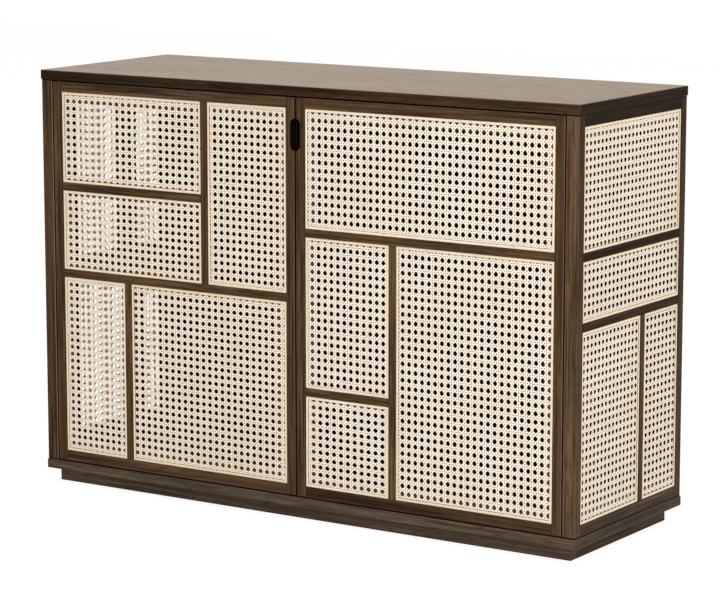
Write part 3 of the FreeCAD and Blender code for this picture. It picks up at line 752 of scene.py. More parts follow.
class CaneFibre(Effect):
    """Fine lines along a strand, its own tone, small dark flecks, and masks of its back and of the painted
    shadow at its seam.
    """

    name = "cane_fibre"
    inputs = {"Strand": "Vector", "Vector": "Vector", "Normal": "Vector", "Outward": "Vector",
              "Seam": "Float"}
    outputs = ("Tone", "Flecks", "Back", "Seam", "Height")
    LINES = (60, 2600, 1)
    MOTTLE = (45, 200, 1)
    FLECKS = (320, 700, 1)
    PATCHES = 9
    # How far apart two strands' patterns lie, for tones that differ by 1.
    APART = 37.0
    BLUR = 0.15 * MM

    @classmethod
    def results(cls, wiring: Wiring, given: Any) -> dict[str, Socket]:
        """The strand vector holds length along, distance across, and a random tone.

        The back is where the face looks against the outward way, and the seam's painted shadow lies
        past its own distance across.

        Args:
            wiring: The group's wiring.
            given: Its inputs.

        Returns:
            Its outputs by name.
        """
        along, across, own = wiring.split(given["Strand"])
        back = wiring.ramp(wiring.dot(given["Normal"], given["Outward"]), -0.7, -0.3, 1.0, 0.0)
        painted_seam_shadow = wiring.ramp(wiring.math("SUBTRACT", across, given["Seam"]), -cls.BLUR, cls.BLUR)
        local = wiring.joined(along, across, wiring.product(own, cls.APART))
        lines = wiring.noise(local, cls.LINES, 2.0)
        mottle = wiring.noise(local, cls.MOTTLE, 2.0)
        patch = wiring.noise(given["Vector"], cls.PATCHES, 2.0)
        tone = wiring.math("ADD", wiring.product(own, 0.45), wiring.ramp(mottle, 0.3, 0.7, 0.0, 0.35))
        tone = wiring.math("ADD", tone, wiring.ramp(patch, 0.35, 0.65, -0.1, 0.2))
        flecks = wiring.ramp(wiring.noise(local, cls.FLECKS, 1.0), 0.68, 0.74)
        return {"Tone": tone, "Flecks": flecks, "Back": back, "Seam": painted_seam_shadow, "Height": lines}


# --------------------------------------------------------------------------- finishes


class Coat(Wiring):
    """A new material: its wiring, its Principled shader and its object coordinates."""

    def __init__(self, name: str) -> None:
        """Makes the material and the nodes that every finish uses.

        Args:
            name: The material's name.
        """
        self.material = bpy.data.materials.new(name)
        self.material.use_nodes = True
        super().__init__(self.material.node_tree)
        self.shader = next(node for node in self.tree.nodes if node.type == "BSDF_PRINCIPLED")
        coordinates = self.node("ShaderNodeTexCoord").outputs
        self.point, self.normal = coordinates["Object"], coordinates["Normal"]

    def finish(self, inputs: dict[str, Any], height: Socket, strength: float, depth: float) -> Material:
        """Feeds the shader and its bump.

        Args:
            inputs: The shader's inputs.
            height: The bump's height.
            strength: How strong the bump is.
            depth: How deep it is.

        Returns:
            The material.
        """
        bump = self.node("ShaderNodeBump", {"Height": height, "Strength": strength, "Distance": depth})
        self.feed(self.shader, {**inputs, "Normal": bump.outputs[0]})
        return self.material


@dataclass(frozen=True)
class Setting:
    """How a member stands in its leaf.

    Attributes:
        outward: The way that its leaf faces, or a board's open face looks.
        joints: The inputs of the leaf's joint line, a dark joint widened with painted gap shade; a board
            has none, and its ends get wear and painted highlight too.
        lean: How much less wear and painted highlight its left arrises get than its right ones, which face
            the light.
        flank: How much paler the faces that look the leaf's way are at its foot and at its head.
        painted_glint: How strong the painted highlight along its right arris is, where it stands beside a
            gap.
    """

    outward: Direction = (0.0, 0.0, 0.0)
    joints: dict[str, Any] = field(default_factory=dict)
    lean: float = 0.0
    flank: Pair = (1.0, 1.0)
    painted_glint: float = 0.0


@dataclass(frozen=True)
class WoodFinish:
    """A stained and lacquered wood.

    Attributes:
        name: The start of its materials' names.
        deep: The dark streaks' colour.
        light: The pale streaks' colour.
        warm: The warm bands' colour.
        pore_and_gap_shade: The colour of the pores, and of the painted shade in the gaps and along the
            joint lines.
        worn_highlight: The colour where the stain is worn through, and of the painted highlight along the
            arrises.
        figure: How strong the slow figure is.
        rough: The least and the greatest roughness.
        gloss: The lacquer's specular level.
        wear_and_highlight: How far the arrises are worn and given a painted highlight.
        wear_highlight_width: How wide the wear and the painted highlight are.
        painted_top_light: Painted light: how many times paler upward faces are drawn, for each colour.
        evened: How far an upward face's streaks are evened out under the painted top light.
        end_grain: How dark the ends are, as a share.
        sheen: How strong the lacquer's haze is.
        sheen_tint: The haze's colour.
        painted_gap_shade: How strongly shade is painted on the faces inside gaps.
        painted_falloff: Painted light falloff: how many times paler the left end and the right end are
            drawn.
    """

    name: str
    deep: Colour
    light: Colour
    warm: Colour
    pore_and_gap_shade: Colour
    worn_highlight: Colour
    figure: float = 0.35
    rough: Pair = (0.34, 0.46)
    gloss: float = 0.016
    wear_and_highlight: float = 0.65
    wear_highlight_width: float = 2.0 * MM
    painted_top_light: Colour = (1.0, 1.0, 1.0)
    evened: float = 0.0
    end_grain: float = 0.7
    sheen: float = 0.0
    sheen_tint: Colour = (1.0, 1.0, 1.0)
    painted_gap_shade: float = 1.0
    painted_falloff: Pair = (1.0, 1.0)

    # The leaves' outer faces as half sizes; the height is out of the way.
    SKIN = (SIDE_FACE, DOOR_FACE, 1.0)
    # How deep the painted gap shade reaches, and how deep the ledge behind the cane lies.
    REVEAL_STOP = 19.5 * MM
    LEDGE_DEPTH = 2.8 * MM
    BARE = (0.062, 0.044, 0.025)
    # The streaks' mean tone, from deep at 0 to light at 1.
    MEAN_TONE = 0.44
    # What is added to a half size so that butted ends are never reached.
    BUTTED = 1.0
    PATTERN_STEP = (0.731, 0.377, 0.193)

    def grain(self, coat: Coat, grain: Grain, at_end: Socket, order: int) -> Any:
        """The wood's grain, along the member and along its edged ends.

        Args:
            coat: The material.
            grain: The way that the grain runs.
            at_end: 1 on the member's ends.
            order: The member's number, which moves the pattern so that no two are alike.

        Returns:
            The grain's masks.
        """
        x, y, z = coat.split(coat.point)
        inputs = {0: at_end, 4: coat.point, 5: coat.joined(y, x, z)}
        laid = coat.node("ShaderNodeMix", inputs, data_type="VECTOR").outputs[1]
        turn = tuple(math.radians(angle) for angle in grain.value)
        shift = tuple(step * order for step in self.PATTERN_STEP)
        mapped = coat.node("ShaderNodeMapping", {"Vector": laid, "Location": shift, "Rotation": turn})
        return WoodGrain.place(coat, {"Vector": mapped.outputs[0], "Figure": self.figure})

    def stain(self, coat: Coat, wood: Any, shade: float) -> Socket:
        """The stained wood's colour, before wear, painted highlights and painted light.

        Args:
            coat: The material.
            wood: The grain's masks.
            shade: How many times paler than usual the member is drawn; on the bottom board and the plinth
                it is partly painted light.

        Returns:
            The colour.
        """
        deep, light, warm, pore_and_gap_shade = (tuple(shade * part for part in colour)
                                   for colour in (self.deep, self.light, self.warm, self.pore_and_gap_shade))
        colour = coat.blend(wood["Tone"], deep, light)
        colour = coat.blend(coat.product(wood["Warmth"], 0.4), colour, warm)
        return coat.blend(coat.product(wood["Pores"], 0.75), colour, pore_and_gap_shade)

    def wear_highlight_mask(self, coat: Coat, box: np.ndarray, grain: Grain, setting: Setting) -> Socket:
        """How far the stain is worn through, and where the arrises get a painted highlight.

        Args:
            coat: The material.
            box: The member's lowest and highest corner.
            grain: The way that its grain runs; a member's butted ends keep their stain.
            setting: How it stands in its leaf.

        Returns:
            A mask of the worn arrises with their painted highlight, and of the right arris's painted
            glint.
        """
        low, high = box
        half = (high - low) / 2 + (self.BUTTED * np.array(grain.axis) if setting.joints else 0.0)
        wear_and_highlight = EdgeWearHighlight.place(coat, {"Vector": coat.point, "Centre": tuple((low + high) / 2),
                                     "Half Size": tuple(half), "Width": self.wear_highlight_width,
                                     "Lean": setting.lean})["Wear"]
        wear_and_highlight = coat.product(wear_and_highlight, self.wear_and_highlight)
        # Painted highlight: a glint along the right arris beside a gap.
        if setting.painted_glint:
            x, width = coat.split(coat.point)[0], self.wear_highlight_width
            painted_glint = coat.ramp(x, high[0] - width, high[0] - 0.6 * width, 0.0, setting.painted_glint)
            wear_and_highlight = coat.math("MAXIMUM", wear_and_highlight, painted_glint)
        return wear_and_highlight

    def painted_top_colour(self, coat: Coat, plain: Socket, shade: float) -> Socket:
        """The painted-light colour of an upward face: the stain, evened towards its mean and drawn paler.

        Args:
            coat: The material.
            plain: The stain's own colour.
            shade: How many times paler than usual the member is drawn; on the bottom board and the plinth
                it is partly painted light.

        Returns:
            The colour.
        """
        mean = tuple(shade * (self.MEAN_TONE * pale + (1.0 - self.MEAN_TONE) * dark)
                     for pale, dark in zip(self.light, self.deep))
        return coat.vector("MULTIPLY", coat.blend(self.evened, plain, mean), self.painted_top_light)

    def material(self, node: str, grain: Grain, order: int, shade: float = 1.0,
                 setting: Setting = Setting()) -> Material:
        """Makes the finish for one member.

        Args:
            node: The member's CAD node.
            grain: The way that its grain runs.
            order: The member's number.
            shade: How many times paler than usual the member is drawn; on the bottom board and the plinth
                it is partly painted light.
            setting: How it stands in its leaf.

        Returns:
            The material.
        """
        coat = Coat(f"{self.name}_{node}")
        low, high = box = np.array(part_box(node))
        x, _, z = coat.split(coat.point)
        at_end = coat.looks(coat.normal, grain.axis, either=True)
        wood = self.grain(coat, grain, at_end, order)
        plain = self.stain(coat, wood, shade)
        # Wear and a painted highlight along the arrises.
        colour = coat.blend(self.wear_highlight_mask(coat, box, grain, setting), plain, self.worn_highlight)
        # Painted light falloff along the member, from its left end to its right end.
        if self.painted_falloff != (1.0, 1.0):
            colour = coat.vector("MULTIPLY", colour, coat.ramp(x, low[0], high[0], *self.painted_falloff))
        # Painted light: upward faces are drawn paler, in place of the white surround's grazing reflection.
        if self.painted_top_light != (1.0, 1.0, 1.0):
            upward = coat.looks(coat.normal, (0.0, 0.0, 1.0))
            colour = coat.blend(upward, colour, self.painted_top_colour(coat, plain, shade))
        colour = coat.blend(at_end, colour, coat.vector("MULTIPLY", colour, (self.end_grain,) * 3))
        if setting.flank != (1.0, 1.0):
            paler = coat.vector("MULTIPLY", colour, coat.ramp(z, low[2], high[2], *setting.flank))
            colour = coat.blend(coat.looks(coat.normal, setting.outward, either=True), colour, paler)
        inside = Reveal.place(coat, {"Vector": coat.point, "Normal": coat.normal, "Half Size": self.SKIN,
                                     "Outward": setting.outward, "Stop": self.REVEAL_STOP,
                                     "Ledge Depth": self.LEDGE_DEPTH})
        # Painted shade: faces inside the gaps are drawn in the pore colour.
        colour = coat.blend(coat.product(inside["Shade"], self.painted_gap_shade), colour, self.pore_and_gap_shade)
        if setting.joints:
            colour = coat.blend(inside["Ledge"], colour, self.BARE)
            # The joint line: a dark joint, widened with painted shade of the gap.
            line = JointLine.place(coat, {"Vector": coat.point, **setting.joints})["Mask"]
            colour = coat.blend(line, colour, self.pore_and_gap_shade)
        rough = coat.ramp(wood["Height"], -0.6, 0.5, self.rough[1], self.rough[0])
        inputs = {"Base Color": colour, "Roughness": rough, "Specular IOR Level": self.gloss,
                  "Sheen Weight": self.sheen, "Sheen Tint": self.sheen_tint}
        return coat.finish(inputs, wood["Height"], 0.35, 0.12 * MM)


@dataclass(frozen=True)
class CaneFinish:
    """Natural cane or reed: pale fibres, golden patches, small dark flecks and a painted shadow line at
    the reed's seam.
    """

    name: str
    pale: Colour
    gold: Colour
    fleck_and_seam_shadow: Colour
    flecking: float = 0.7
    rough: float = 0.42
    gloss: float = 0.3
    dull_back: Colour = (0.84, 0.75, 0.62)
    painted_seam_shadow: float = 1.0

    ROUGH_RANGE = 0.08

    def material(self, leaf: str, outward: Direction, golden: float) -> Material:
        """Makes the finish, which follows each strand's own length and side.

        Args:
            leaf: The leaf that it is for.
            outward: The way that the leaf faces; the backs of its strands are duller.
            golden: How much more golden than usual its batch of cane is.

        Returns:
            The material.
        """
        coat = Coat(f"{self.name}_{leaf}")
        strand = coat.node("ShaderNodeAttribute", attribute_name="strand").outputs["Vector"]
        fibre = CaneFibre.place(coat, {"Strand": strand, "Vector": coat.point, "Normal": coat.normal,
                                       "Outward": outward, "Seam": self.painted_seam_shadow})
        colour = coat.blend(coat.math("ADD", fibre["Tone"], golden), self.pale, self.gold)
        colour = coat.blend(coat.product(fibre["Flecks"], self.flecking), colour, self.fleck_and_seam_shadow)
        colour = coat.blend(fibre["Back"], colour, coat.vector("MULTIPLY", colour, self.dull_back))
        # Painted shadow: the reed's inner edge, where it meets the weave, is drawn in the fleck colour.
        colour = coat.blend(fibre["Seam"], colour, self.fleck_and_seam_shadow)
        dull, bright = self.rough + self.ROUGH_RANGE, self.rough - self.ROUGH_RANGE
        rough = coat.ramp(fibre["Height"], 0.2, 0.8, dull, bright)
        inputs = {"Base Color": colour, "Roughness": rough, "Specular IOR Level": self.gloss}
        return coat.finish(inputs, fibre["Height"], 0.3, 0.05 * MM)


@dataclass(frozen=True)
class FittingFinish:
    """A plated metal or moulded plastic: a fine texture over a slow change of tone.

    Attributes:
        name: The material's name.
        tones: Its two colours.
        rough: The least and the greatest roughness.
        metallic: 1 for a metal and 0 for a plastic.
        texture: The fine texture's features for each metre.
        cloud: The slow change's features for each metre and its finer layers.
        bump: The texture's strength and depth.
    """

    name: str
    tones: tuple[Colour, Colour]
    rough: Pair
    metallic: float = 1.0
    texture: Any = (90, 4200, 4200)
    cloud: Pair = (240, 3.0)
    bump: Pair = (0.2, 0.02 * MM)

    def material(self) -> Material:
        """Makes the finish; a metal's fine lines run along X.

        Returns:
            The material.
        """
        coat = Coat(self.name)
        fine = coat.noise(coat.point, self.texture, 2.0)
        colour = coat.blend(coat.ramp(coat.noise(coat.point, *self.cloud), 0.35, 0.65), *self.tones)
        inputs = {"Base Color": colour, "Roughness": coat.ramp(fine, 0.3, 0.7, *self.rough),
                  "Metallic": self.metallic}
        return coat.finish(inputs, fine, *self.bump)


STAINED = WoodFinish("stained_wood", deep=(0.030, 0.0165, 0.0085), light=(0.116, 0.070, 0.037),
                     warm=(0.104, 0.054, 0.028), pore_and_gap_shade=(0.010, 0.0055, 0.0035), worn_highlight=(0.19, 0.125, 0.08))
GREYED = replace(STAINED, name="greyed_wood", deep=(0.034, 0.0225, 0.014), light=(0.104, 0.072, 0.046),
                 warm=(0.092, 0.058, 0.036))
# The top is drawn paler on its upward face and darker towards its left end: both painted light.
TOP = WoodFinish("stained_top", deep=(0.011, 0.0065, 0.0038), light=(0.054, 0.033, 0.018),
                 warm=(0.046, 0.024, 0.012), pore_and_gap_shade=(0.005, 0.0033, 0.002), worn_highlight=(0.10, 0.066, 0.042),
                 figure=0.4, rough=(0.18, 0.30), gloss=0.010, painted_top_light=(4.55, 4.78, 4.30), evened=0.55,
                 end_grain=0.3, sheen=0.03, sheen_tint=(1.0, 0.76, 0.47), painted_falloff=(0.50, 1.38), wear_and_highlight=0.35)
BOARD = WoodFinish("stained_board", deep=(0.030, 0.0205, 0.0135), light=(0.098, 0.072, 0.050),
                   warm=(0.086, 0.055, 0.037), pore_and_gap_shade=(0.010, 0.006, 0.004), worn_highlight=(0.18, 0.125, 0.085),
                   figure=0.45, end_grain=0.62, wear_and_highlight=0.2)
PLINTH = replace(BOARD, name="stained_plinth", wear_and_highlight=0.05, painted_gap_shade=0.0, end_grain=1.0)
PLINTH_END = replace(PLINTH, deep=(0.030, 0.0165, 0.009), light=(0.096, 0.058, 0.032),
                     warm=(0.086, 0.046, 0.025))
INNER = WoodFinish("inner_wood", deep=(0.018, 0.010, 0.006), light=(0.048, 0.028, 0.016),
                   warm=(0.046, 0.024, 0.014), pore_and_gap_shade=(0.010, 0.006, 0.004), worn_highlight=(0.08, 0.05, 0.03),
                   rough=(0.55, 0.7), wear_and_highlight=0.3)
BEECH = WoodFinish("beech", deep=(0.40, 0.25, 0.14), light=(0.62, 0.44, 0.28), warm=(0.60, 0.38, 0.22),
                   pore_and_gap_shade=(0.30, 0.17, 0.09), worn_highlight=(0.66, 0.5, 0.34), rough=(0.6, 0.7), wear_and_highlight=0.2)
CANE = CaneFinish("cane", pale=(0.90, 0.82, 0.72), gold=(0.83, 0.71, 0.56), fleck_and_seam_shadow=(0.34, 0.20, 0.10))
REED = CaneFinish("reed", pale=(0.86, 0.74, 0.58), gold=(0.76, 0.61, 0.42), fleck_and_seam_shadow=(0.16, 0.085, 0.04),
                  flecking=0.9, painted_seam_shadow=4.4 * MM)
BRASS = FittingFinish("brass", ((0.032, 0.021, 0.011), (0.018, 0.012, 0.007)), (0.30, 0.48))
STEEL = FittingFinish("steel", ((0.62, 0.62, 0.61), (0.46, 0.46, 0.47)), (0.28, 0.45))
CATCH = FittingFinish("catch_plastic", ((0.060, 0.036, 0.024), (0.085, 0.053, 0.037)), (0.45, 0.6),
                      metallic=0.0, texture=1800, cloud=(150, 2.0), bump=(0.3, 0.05 * MM))


def dress(node: str, material: Material) -> None:
    """Gives a CAD node a finish in place of its own.

    Args:
        node: The CAD node's name.
        material: The finish.
    """
    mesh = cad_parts[node].data
    mesh.materials.clear()
    mesh.materials.append(material)
    LOG.info("%s: %s", node, material.name)


# --------------------------------------------------------------------------- sub-assemblies


@dataclass(frozen=True)
class Panel:
    """One opening of a leaf and the sheet of cane in it, in millimetres and mesh counts."""

    name: str
    across_mm: Pair
    up_mm: Pair
    meshes: Pair | None = None
    first: Pair = (0.5, 0.5)

    STOCK_MESH_MM = 12.7

    @property
    def edges(self) -> tuple[Pair, Pair]:
        """Its left and right edge, and its lower and upper edge, in metres."""
        return tuple((low * MM, high * MM) for low, high in (self.across_mm, self.up_mm))

    @property
    def counts(self) -> Pair:
        """Its meshes across and up, at the stock mesh where none are given."""
        sizes = np.ptp(self.across_mm), np.ptp(self.up_mm)
        return self.meshes or tuple(float(size) / self.STOCK_MESH_MM for size in sizes)


@dataclass
class FramedLeaf:
    """A door or side: a stained frame, its sheets of woven cane and the reeds that hold them."""

    name: str
    body: str
    facing: Facing
    face: float
    panels: tuple[Panel, ...]
    uprights: dict[str, float]
    levels: dict[str, float]
    order: int
    golden: float = 0.0
    flanks: dict[str, Pair] = field(default_factory=dict)
    painted_glint: dict[str, float] = field(default_factory=dict)
    finishes: dict[str, WoodFinish] = field(default_factory=dict)
    joint_line: float = 2.2 * MM
    # How much less wear and painted highlight the left arrises get than the right ones, which face the
    # light.
    lean: float = 0.0
    sheet_depth: float = 2.0 * MM
    reed_width: float = 5.0 * MM
    reed_crest: float = 0.65 * MM
    reed_foot: float = 5.8 * MM
    strand: Strand = field(default_factory=Strand)

    # How far apart two leaves' seeds and pattern numbers lie.
    CANE_SEEDS = 100
    REED_SEEDS = 500
    PATTERNS = 20

    def fit(self, surface: Surface, name: str, finish: Material, sharp: float) -> bpy.types.Object:
        """Makes a new piece and lets it ride on the leaf's body.

        Args:
            surface: The piece's surface, as across, up and outward from the outer face.
            name: The end of its name.
            finish: Its material.
            sharp: The angle past which its edges stay sharp.

        Returns:
            The piece.
        """
        surface.points = self.facing.place(surface.points, self.face)
        piece = surface.to_object(f"{self.name}_{name}", finish, sharp)
        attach(piece, self.body)
        LOG.info("%s: %d faces", piece.name, len(piece.data.polygons))
        return piece

    def weave(self, finish: Material) -> None:
        """Weaves each panel's sheet and hides the leaf's cane node in its place.

        Args:
            finish: The cane's material.
        """
        for number, panel in enumerate(self.panels):
            seed = SEED + self.CANE_SEEDS * self.order + number
            weave = Weave(*panel.edges, panel.counts, panel.first, self.strand, seed)
            sheet = weave.surface(self.reed_width / 2)
            sheet.points[:, 2] -= self.sheet_depth
            piece = self.fit(sheet, f"cane_{panel.name}", finish, 60.0)
            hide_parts(f"{self.name}_cane")

    def lay_reeds(self, finish: Material) -> None:
        """Lays a reed round each panel and hides the leaf's splines node in their place.

        Args:
            finish: The reeds' material.
        """
        rings = [ReedRing(*panel.edges, self.reed_width, self.reed_crest, self.reed_foot,
                          SEED + self.REED_SEEDS * self.order + number).surface()
                 for number, panel in enumerate(self.panels)]
        piece = self.fit(Surface.joined(rings), "reeds", finish, 40.0)
        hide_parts(f"{self.name}_splines")

    def joints(self) -> dict[str, Any]:
        """Places the joint line, a dark joint with painted gap shade: a door's runs all round it, and a
        side's along its head and foot.

        Returns:
            The joint line's inputs.
        """
        boxes = np.array([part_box(f"{self.name}_{part}") for part in (*self.uprights, *self.levels)])
        low, high = boxes[:, 0].min(axis=0), boxes[:, 1].max(axis=0)
        free = np.array((0, 1, 0) if self.facing is Facing.FRONT else (1, 1, 0))
        half = (high - low) / 2 + WoodFinish.BUTTED * free
        return {"Centre": tuple((low + high) / 2), "Half Size": tuple(half), "Line": self.joint_line}

    def dress(self) -> None:
        """Stains the frame's members, each to its own shade, with the grain along it."""
        level = Grain.ALONG_X if self.facing is Facing.FRONT else Grain.ALONG_Y
        members = [(part, shade, Grain.ALONG_Z, self.lean) for part, shade in self.uprights.items()]
        members += [(part, shade, level, 0.0) for part, shade in self.levels.items()]
        joints = self.joints()
        for number, (part, shade, grain, lean) in enumerate(members, self.PATTERNS * self.order + 1):
            node = f"{self.name}_{part}"
            setting = Setting(self.facing.outward, joints, lean, self.flanks.get(part, (1.0, 1.0)),
                              self.painted_glint.get(part, 0.0))
            dress(node, self.finishes.get(part, STAINED).material(node, grain, number, shade, setting))

    def build(self) -> None:
        """Builds and dresses the leaf."""
        self.weave(CANE.material(self.name, self.facing.outward, self.golden))
        self.lay_reeds(REED.material(self.name, self.facing.outward, self.golden))
        self.dress()


@dataclass
class Door(FramedLeaf):
    """A leaf that swings on brass bushes and has a strike plate for its catch."""

    # A door's joint line is mostly painted shade in its gaps.
    joint_line: float = 0.8 * MM
    # Painted highlight: a door's left arrises get less than its right ones, which face the light.
    lean: float = 0.8

    def fit_hardware(self, brass: Material, steel: Material) -> None:
        """Finishes the door's bushes and strike plate."""
        dress(f"{self.name}_bushes", brass)
        dress(f"{self.name}_strike_plate", steel)


@dataclass(frozen=True)
class Board:
    """A board of the carcase: its grain, finish and shade, and the way that its open face looks."""

    node: str
    grain: Grain
    finish: WoodFinish
    shade: float = 1.0
    open_face: Direction = (0.0, 0.0, 0.0)


@dataclass(frozen=True)
class Carcase:
    """The boards, plinth, back, partition, shelves and fittings that the leaves stand in."""

    boards: tuple[Board, ...] = (
        Board("top_board", Grain.ALONG_X, TOP, 1.08, (0.0, 0.0, 1.0)),
        # The bottom board and the plinth are drawn paler partly as painted light: in place of the light
        # from the white floor, and against the shade under the bottom board's overhang.
        Board("bottom_board", Grain.ALONG_X, BOARD, 1.35),
        Board("plinth_front", Grain.ALONG_X, PLINTH, 1.25),
        Board("plinth_back", Grain.ALONG_X, PLINTH, 1.2),
        Board("plinth_left", Grain.ALONG_Y, PLINTH_END, 1.2),
        Board("plinth_right", Grain.ALONG_Y, PLINTH_END, 1.2),
        Board("back_panel", Grain.ALONG_X, INNER, 1.0, (0.0, 1.0, 0.0)),
        Board("partition", Grain.ALONG_Z, INNER),
        Board("left_shelf", Grain.ALONG_X, INNER),
        Board("right_shelf", Grain.ALONG_X, INNER))

    FIRST_PATTERN = 101
    DOWEL_PATTERN = 181

    def dress_boards(self) -> None:
        """Stains the boards and gives the dowels their bare wood."""
        for number, board in enumerate(self.boards, self.FIRST_PATTERN):
            setting = Setting(board.open_face)
            dress(board.node, board.finish.material(board.node, board.grain, number, board.shade, setting))
        dress("dowels", BEECH.material("dowels", Grain.ALONG_X, self.DOWEL_PATTERN))

    def fit_hardware(self, brass: Material) -> None:
        """Finishes the pivots and the catches.

        Args:
            brass: The pivots' material.
        """
        dress("lower_pivots", brass)
        dress("upper_pivots", brass)
        dress("door_catches", CATCH.material())


LEFT_DOOR = Door(
    "left_door", "left_door", Facing.FRONT, DOOR_FACE,
    (Panel("upper_left", (-486, -192), (531, 687), (22.33, 12.59), (0.44, 0.84)),
     Panel("middle_left", (-486, -192), (380, 517), (22.74, 11.06), (0.61, 0.03)),
     Panel("upper_right", (-178, -19), (380, 687), (12.62, 24.11), (0.68, 0.54)),
     Panel("lower_left", (-486, -354.5), (59, 366), (10.50, 25.22), (0.58, 0.67)),
     Panel("lower_right", (-340.5, -19), (59, 366), (24.85, 24.45), (0.11, 0.64))),
    {"hinge_stile": 1.05, "meeting_stile": 0.92, "upper_post": 1.0, "lower_post": 1.0},
    {"top_rail": 1.0, "bottom_rail": 1.0, "cross_bar": 1.0, "upper_bar": 1.0},
    order=1, golden=0.3, painted_glint={"meeting_stile": 1.0})

RIGHT_DOOR = Door(
    "right_door", "right_door", Facing.FRONT, DOOR_FACE,
    (Panel("upper", (19, 486), (490.5, 687), (37.59, 14.40), (0.70, 0.57)),
     Panel("middle_left", (19, 181), (225.5, 476.5), (12.88, 19.02), (0.52, 0.25)),
     Panel("lower_left", (19, 181), (59, 211.5), (11.99, 12.20), (0.59, 0.33)),
     Panel("lower_right", (195, 486), (59, 476.5), (23.53, 31.06), (0.49, 0.38))),
    {"meeting_stile": 0.96, "hinge_stile": 0.9, "lower_post": 1.35},
    {"top_rail": 1.0, "bottom_rail": 0.7, "cross_bar": 1.0, "lower_bar": 1.0},
    order=2, painted_glint={"hinge_stile": 1.0})

RIGHT_SIDE = FramedLeaf(
    "right_side", "carcase", Facing.RIGHT, SIDE_FACE,
    (Panel("upper", (-160.5, 160.5), (490.5, 687), (25.77, 15.91), (0.28, 0.21)),
     Panel("middle", (-160.5, 160.5), (380, 476.5), (24.40, 7.52), (0.22, 0.63)),
     Panel("lower_front", (-160.5, 31), (59, 366), (15.56, 24.23), (0.17, 0.79)),
     Panel("lower_rear", (45, 160.5), (59, 366), (8.67, 24.28), (0.46, 0.82))),
    {"front_stile": 1.25, "rear_stile": 0.5, "lower_post": 0.8},
    {"top_rail": 0.22, "bottom_rail": 0.98, "upper_bar": 0.3, "lower_bar": 0.46},
    order=3, golden=0.25, flanks={"front_stile": (1.0, 0.42), "rear_stile": (1.8, 1.0)},
    finishes={"bottom_rail": GREYED}, joint_line=2.6 * MM)

LEFT_SIDE = FramedLeaf(
    "left_side", "carcase", Facing.LEFT, SIDE_FACE,
    (Panel("upper_front", (-31, 160.5), (380, 687)),
     Panel("upper_rear", (-160.5, -45), (380, 687)),
     Panel("lower_front", (-58, 160.5), (59, 366)),
     Panel("lower_rear", (-160.5, -72), (59, 366))),
    {"front_stile": 0.88, "rear_stile": 0.95, "upper_post": 1.0, "lower_post": 0.95},
    {"top_rail": 0.9, "bottom_rail": 1.0, "lower_bar": 1.0},
    order=4, golden=0.25, painted_glint={"front_stile": 1.0})


# --------------------------------------------------------------------------- studio


@dataclass(frozen=True)
class Softbox:
    """A large rectangular lamp aimed at a point."""

    name: str
    place: Direction
    aim: Direction
    size: Pair
    power: float
    colour: Colour = (1.0, 1.0, 1.0)

    def light(self) -> None:
        """Hangs the lamp."""
        data = bpy.data.lights.new(self.name, "AREA")
        data.shape, (data.size, data.size_y) = "RECTANGLE", self.size
        data.energy, data.color = self.power, self.colour
        lamp = bpy.data.objects.new(self.name, data)
        lamp.location = self.place
        away = np.array(self.place) - np.array(self.aim)
        tilt = math.acos(away[2] / np.linalg.norm(away))
        lamp.rotation_euler = (tilt, 0.0, math.atan2(away[1], away[0]) + math.pi / 2)
        bpy.context.scene.collection.objects.link(lamp)


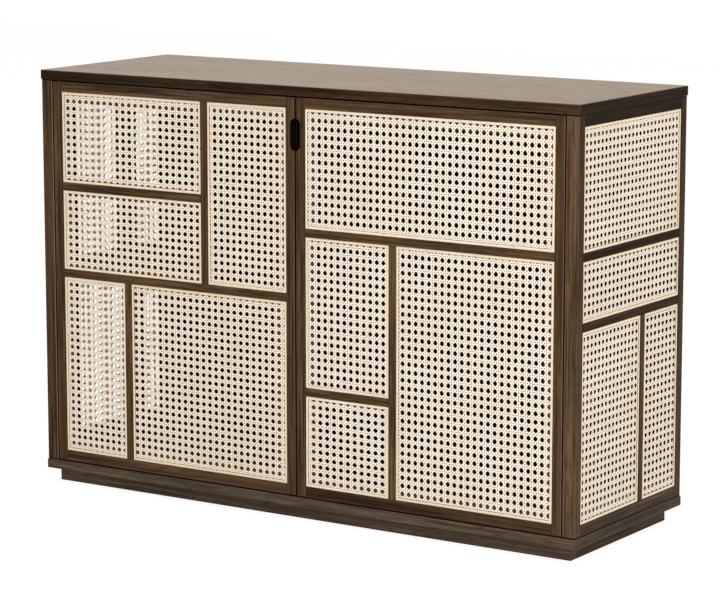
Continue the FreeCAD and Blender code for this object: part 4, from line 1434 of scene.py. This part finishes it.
@dataclass(frozen=True)
class Studio:
    """A pale floor, a white surround and soft lamps."""

    floor_size: float = 16.0
    floor_colour: Colour = (0.80, 0.80, 0.79)
    floor_glow: float = 1.13
    shadow_share: float = 0.22
    fill: float = 0.62
    white: Colour = (1.0, 1.0, 1.0)
    lamps: tuple[Softbox, ...] = (
        Softbox("key_lamp", (1.9, -3.3, 1.45), (0.0, 0.0, 0.25), (2.6, 2.6), 66.0, (1.0, 0.98, 0.95)),
        Softbox("side_lamp", (3.4, 0.9, 2.0), (0.3, 0.0, 0.35), (2.0, 2.0), 32.0, (1.0, 0.98, 0.95)),
        Softbox("top_lamp", (0.0, 0.0, 3.6), (0.0, 0.0, 0.0), (2.6, 2.6), 70.0),
    )

    @staticmethod
    def emptied(owner: Any) -> Wiring:
        """Takes a material's or a world's own nodes out.

        Args:
            owner: The material or world.

        Returns:
            The wiring of its empty tree.
        """
        owner.use_nodes = True
        owner.node_tree.nodes.clear()
        return Wiring(owner.node_tree)

    @staticmethod
    def seen_directly(wiring: Wiring) -> Socket:
        """Tells the rays that see from the rays that carry light.

        Args:
            wiring: The wiring of a material or world.

        Returns:
            1 for camera, glossy and transmission rays, and 0 for the others.
        """
        path = wiring.node("ShaderNodeLightPath").outputs
        seen = wiring.math("MAXIMUM", path["Is Camera Ray"], path["Is Glossy Ray"])
        return wiring.math("MAXIMUM", seen, path["Is Transmission Ray"])

    def lay_floor(self) -> None:
        """Lays the floor: white to the eye, but for a share of its lit surface that keeps shadows."""
        half = self.floor_size / 2
        corners = [(-half, -half, 0), (half, -half, 0), (half, half, 0), (-half, half, 0)]
        mesh = bpy.data.meshes.new("floor")
        mesh.from_pydata(corners, [], [(0, 1, 2, 3)])
        material = bpy.data.materials.new("floor")
        wiring = self.emptied(material)
        lit = wiring.node("ShaderNodeBsdfDiffuse", {"Color": self.floor_colour}).outputs[0]
        glow = {"Color": self.white, "Strength": self.floor_glow}
        bright = wiring.node("ShaderNodeEmission", glow).outputs[0]
        share = wiring.product(self.seen_directly(wiring), 1.0 - self.shadow_share)
        mixed = wiring.node("ShaderNodeMixShader", {0: share, 1: lit, 2: bright}).outputs[0]
        wiring.node("ShaderNodeOutputMaterial", {"Surface": mixed})
        mesh.materials.append(material)
        floor = bpy.data.objects.new("floor", mesh)
        bpy.context.scene.collection.objects.link(floor)
        floor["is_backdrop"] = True

    def surround(self) -> None:
        """Makes the world white to the eye and an even fill for the light."""
        world = bpy.data.worlds.new("studio")
        wiring = self.emptied(world)
        fill, bright = (
            wiring.node("ShaderNodeBackground", {"Color": self.white, "Strength": strength}).outputs[0]
            for strength in (self.fill, 1.0))
        mixed = wiring.node("ShaderNodeMixShader", {0: self.seen_directly(wiring), 1: fill, 2: bright})
        wiring.node("ShaderNodeOutputWorld", {"Surface": mixed.outputs[0]})
        bpy.context.scene.world = world

    def build(self) -> None:
        """Sets the whole studio and the plain view transform."""
        self.lay_floor()
        self.surround()
        for lamp in self.lamps:
            lamp.light()
        bpy.context.scene.view_settings.view_transform = "Standard"
        LOG.info("studio: floor, surround and %d lamps", len(self.lamps))


@dataclass(frozen=True)
class StudioCamera:
    """A long lens at the right of the cabinet's front, a little above it."""

    place: Direction = (2.715, -4.114, 1.192)
    turn: float = 33.264
    tilt: float = 9.68
    lens_mm: float = 146.24
    sensor_mm: float = 36.0
    clip: Pair = (0.1, 100.0)

    def build(self) -> None:
        """Makes the camera and gives it to the scene."""
        data = bpy.data.cameras.new("camera")
        data.lens, data.sensor_width = self.lens_mm, self.sensor_mm
        data.clip_start, data.clip_end = self.clip
        camera = bpy.data.objects.new("camera", data)
        camera.location = self.place
        camera.rotation_euler = (math.radians(90 - self.tilt), 0.0, math.radians(self.turn))
        bpy.context.scene.collection.objects.link(camera)
        bpy.context.scene.camera = camera
        LOG.info("camera: %s mm lens", self.lens_mm)


# --------------------------------------------------------------------------- the cabinet


def corners() -> list[list[float]]:
    """The shown object's lowest and highest corner, as plain lists."""
    return [[float(value) for value in corner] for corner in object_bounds()]


def main() -> None:
    """Builds the cabinet's looks, the studio and the camera."""
    logging.basicConfig(level=logging.INFO, format="%(name)s: %(message)s")
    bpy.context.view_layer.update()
    brass, steel = BRASS.material(), STEEL.material()
    carcase = Carcase()
    carcase.dress_boards()
    carcase.fit_hardware(brass)
    for leaf in (LEFT_SIDE, RIGHT_SIDE, LEFT_DOOR, RIGHT_DOOR):
        leaf.build()
    for door in (LEFT_DOOR, RIGHT_DOOR):
        door.fit_hardware(brass, steel)
    Studio().build()
    StudioCamera().build()


if __name__ == "__main__":
    main()
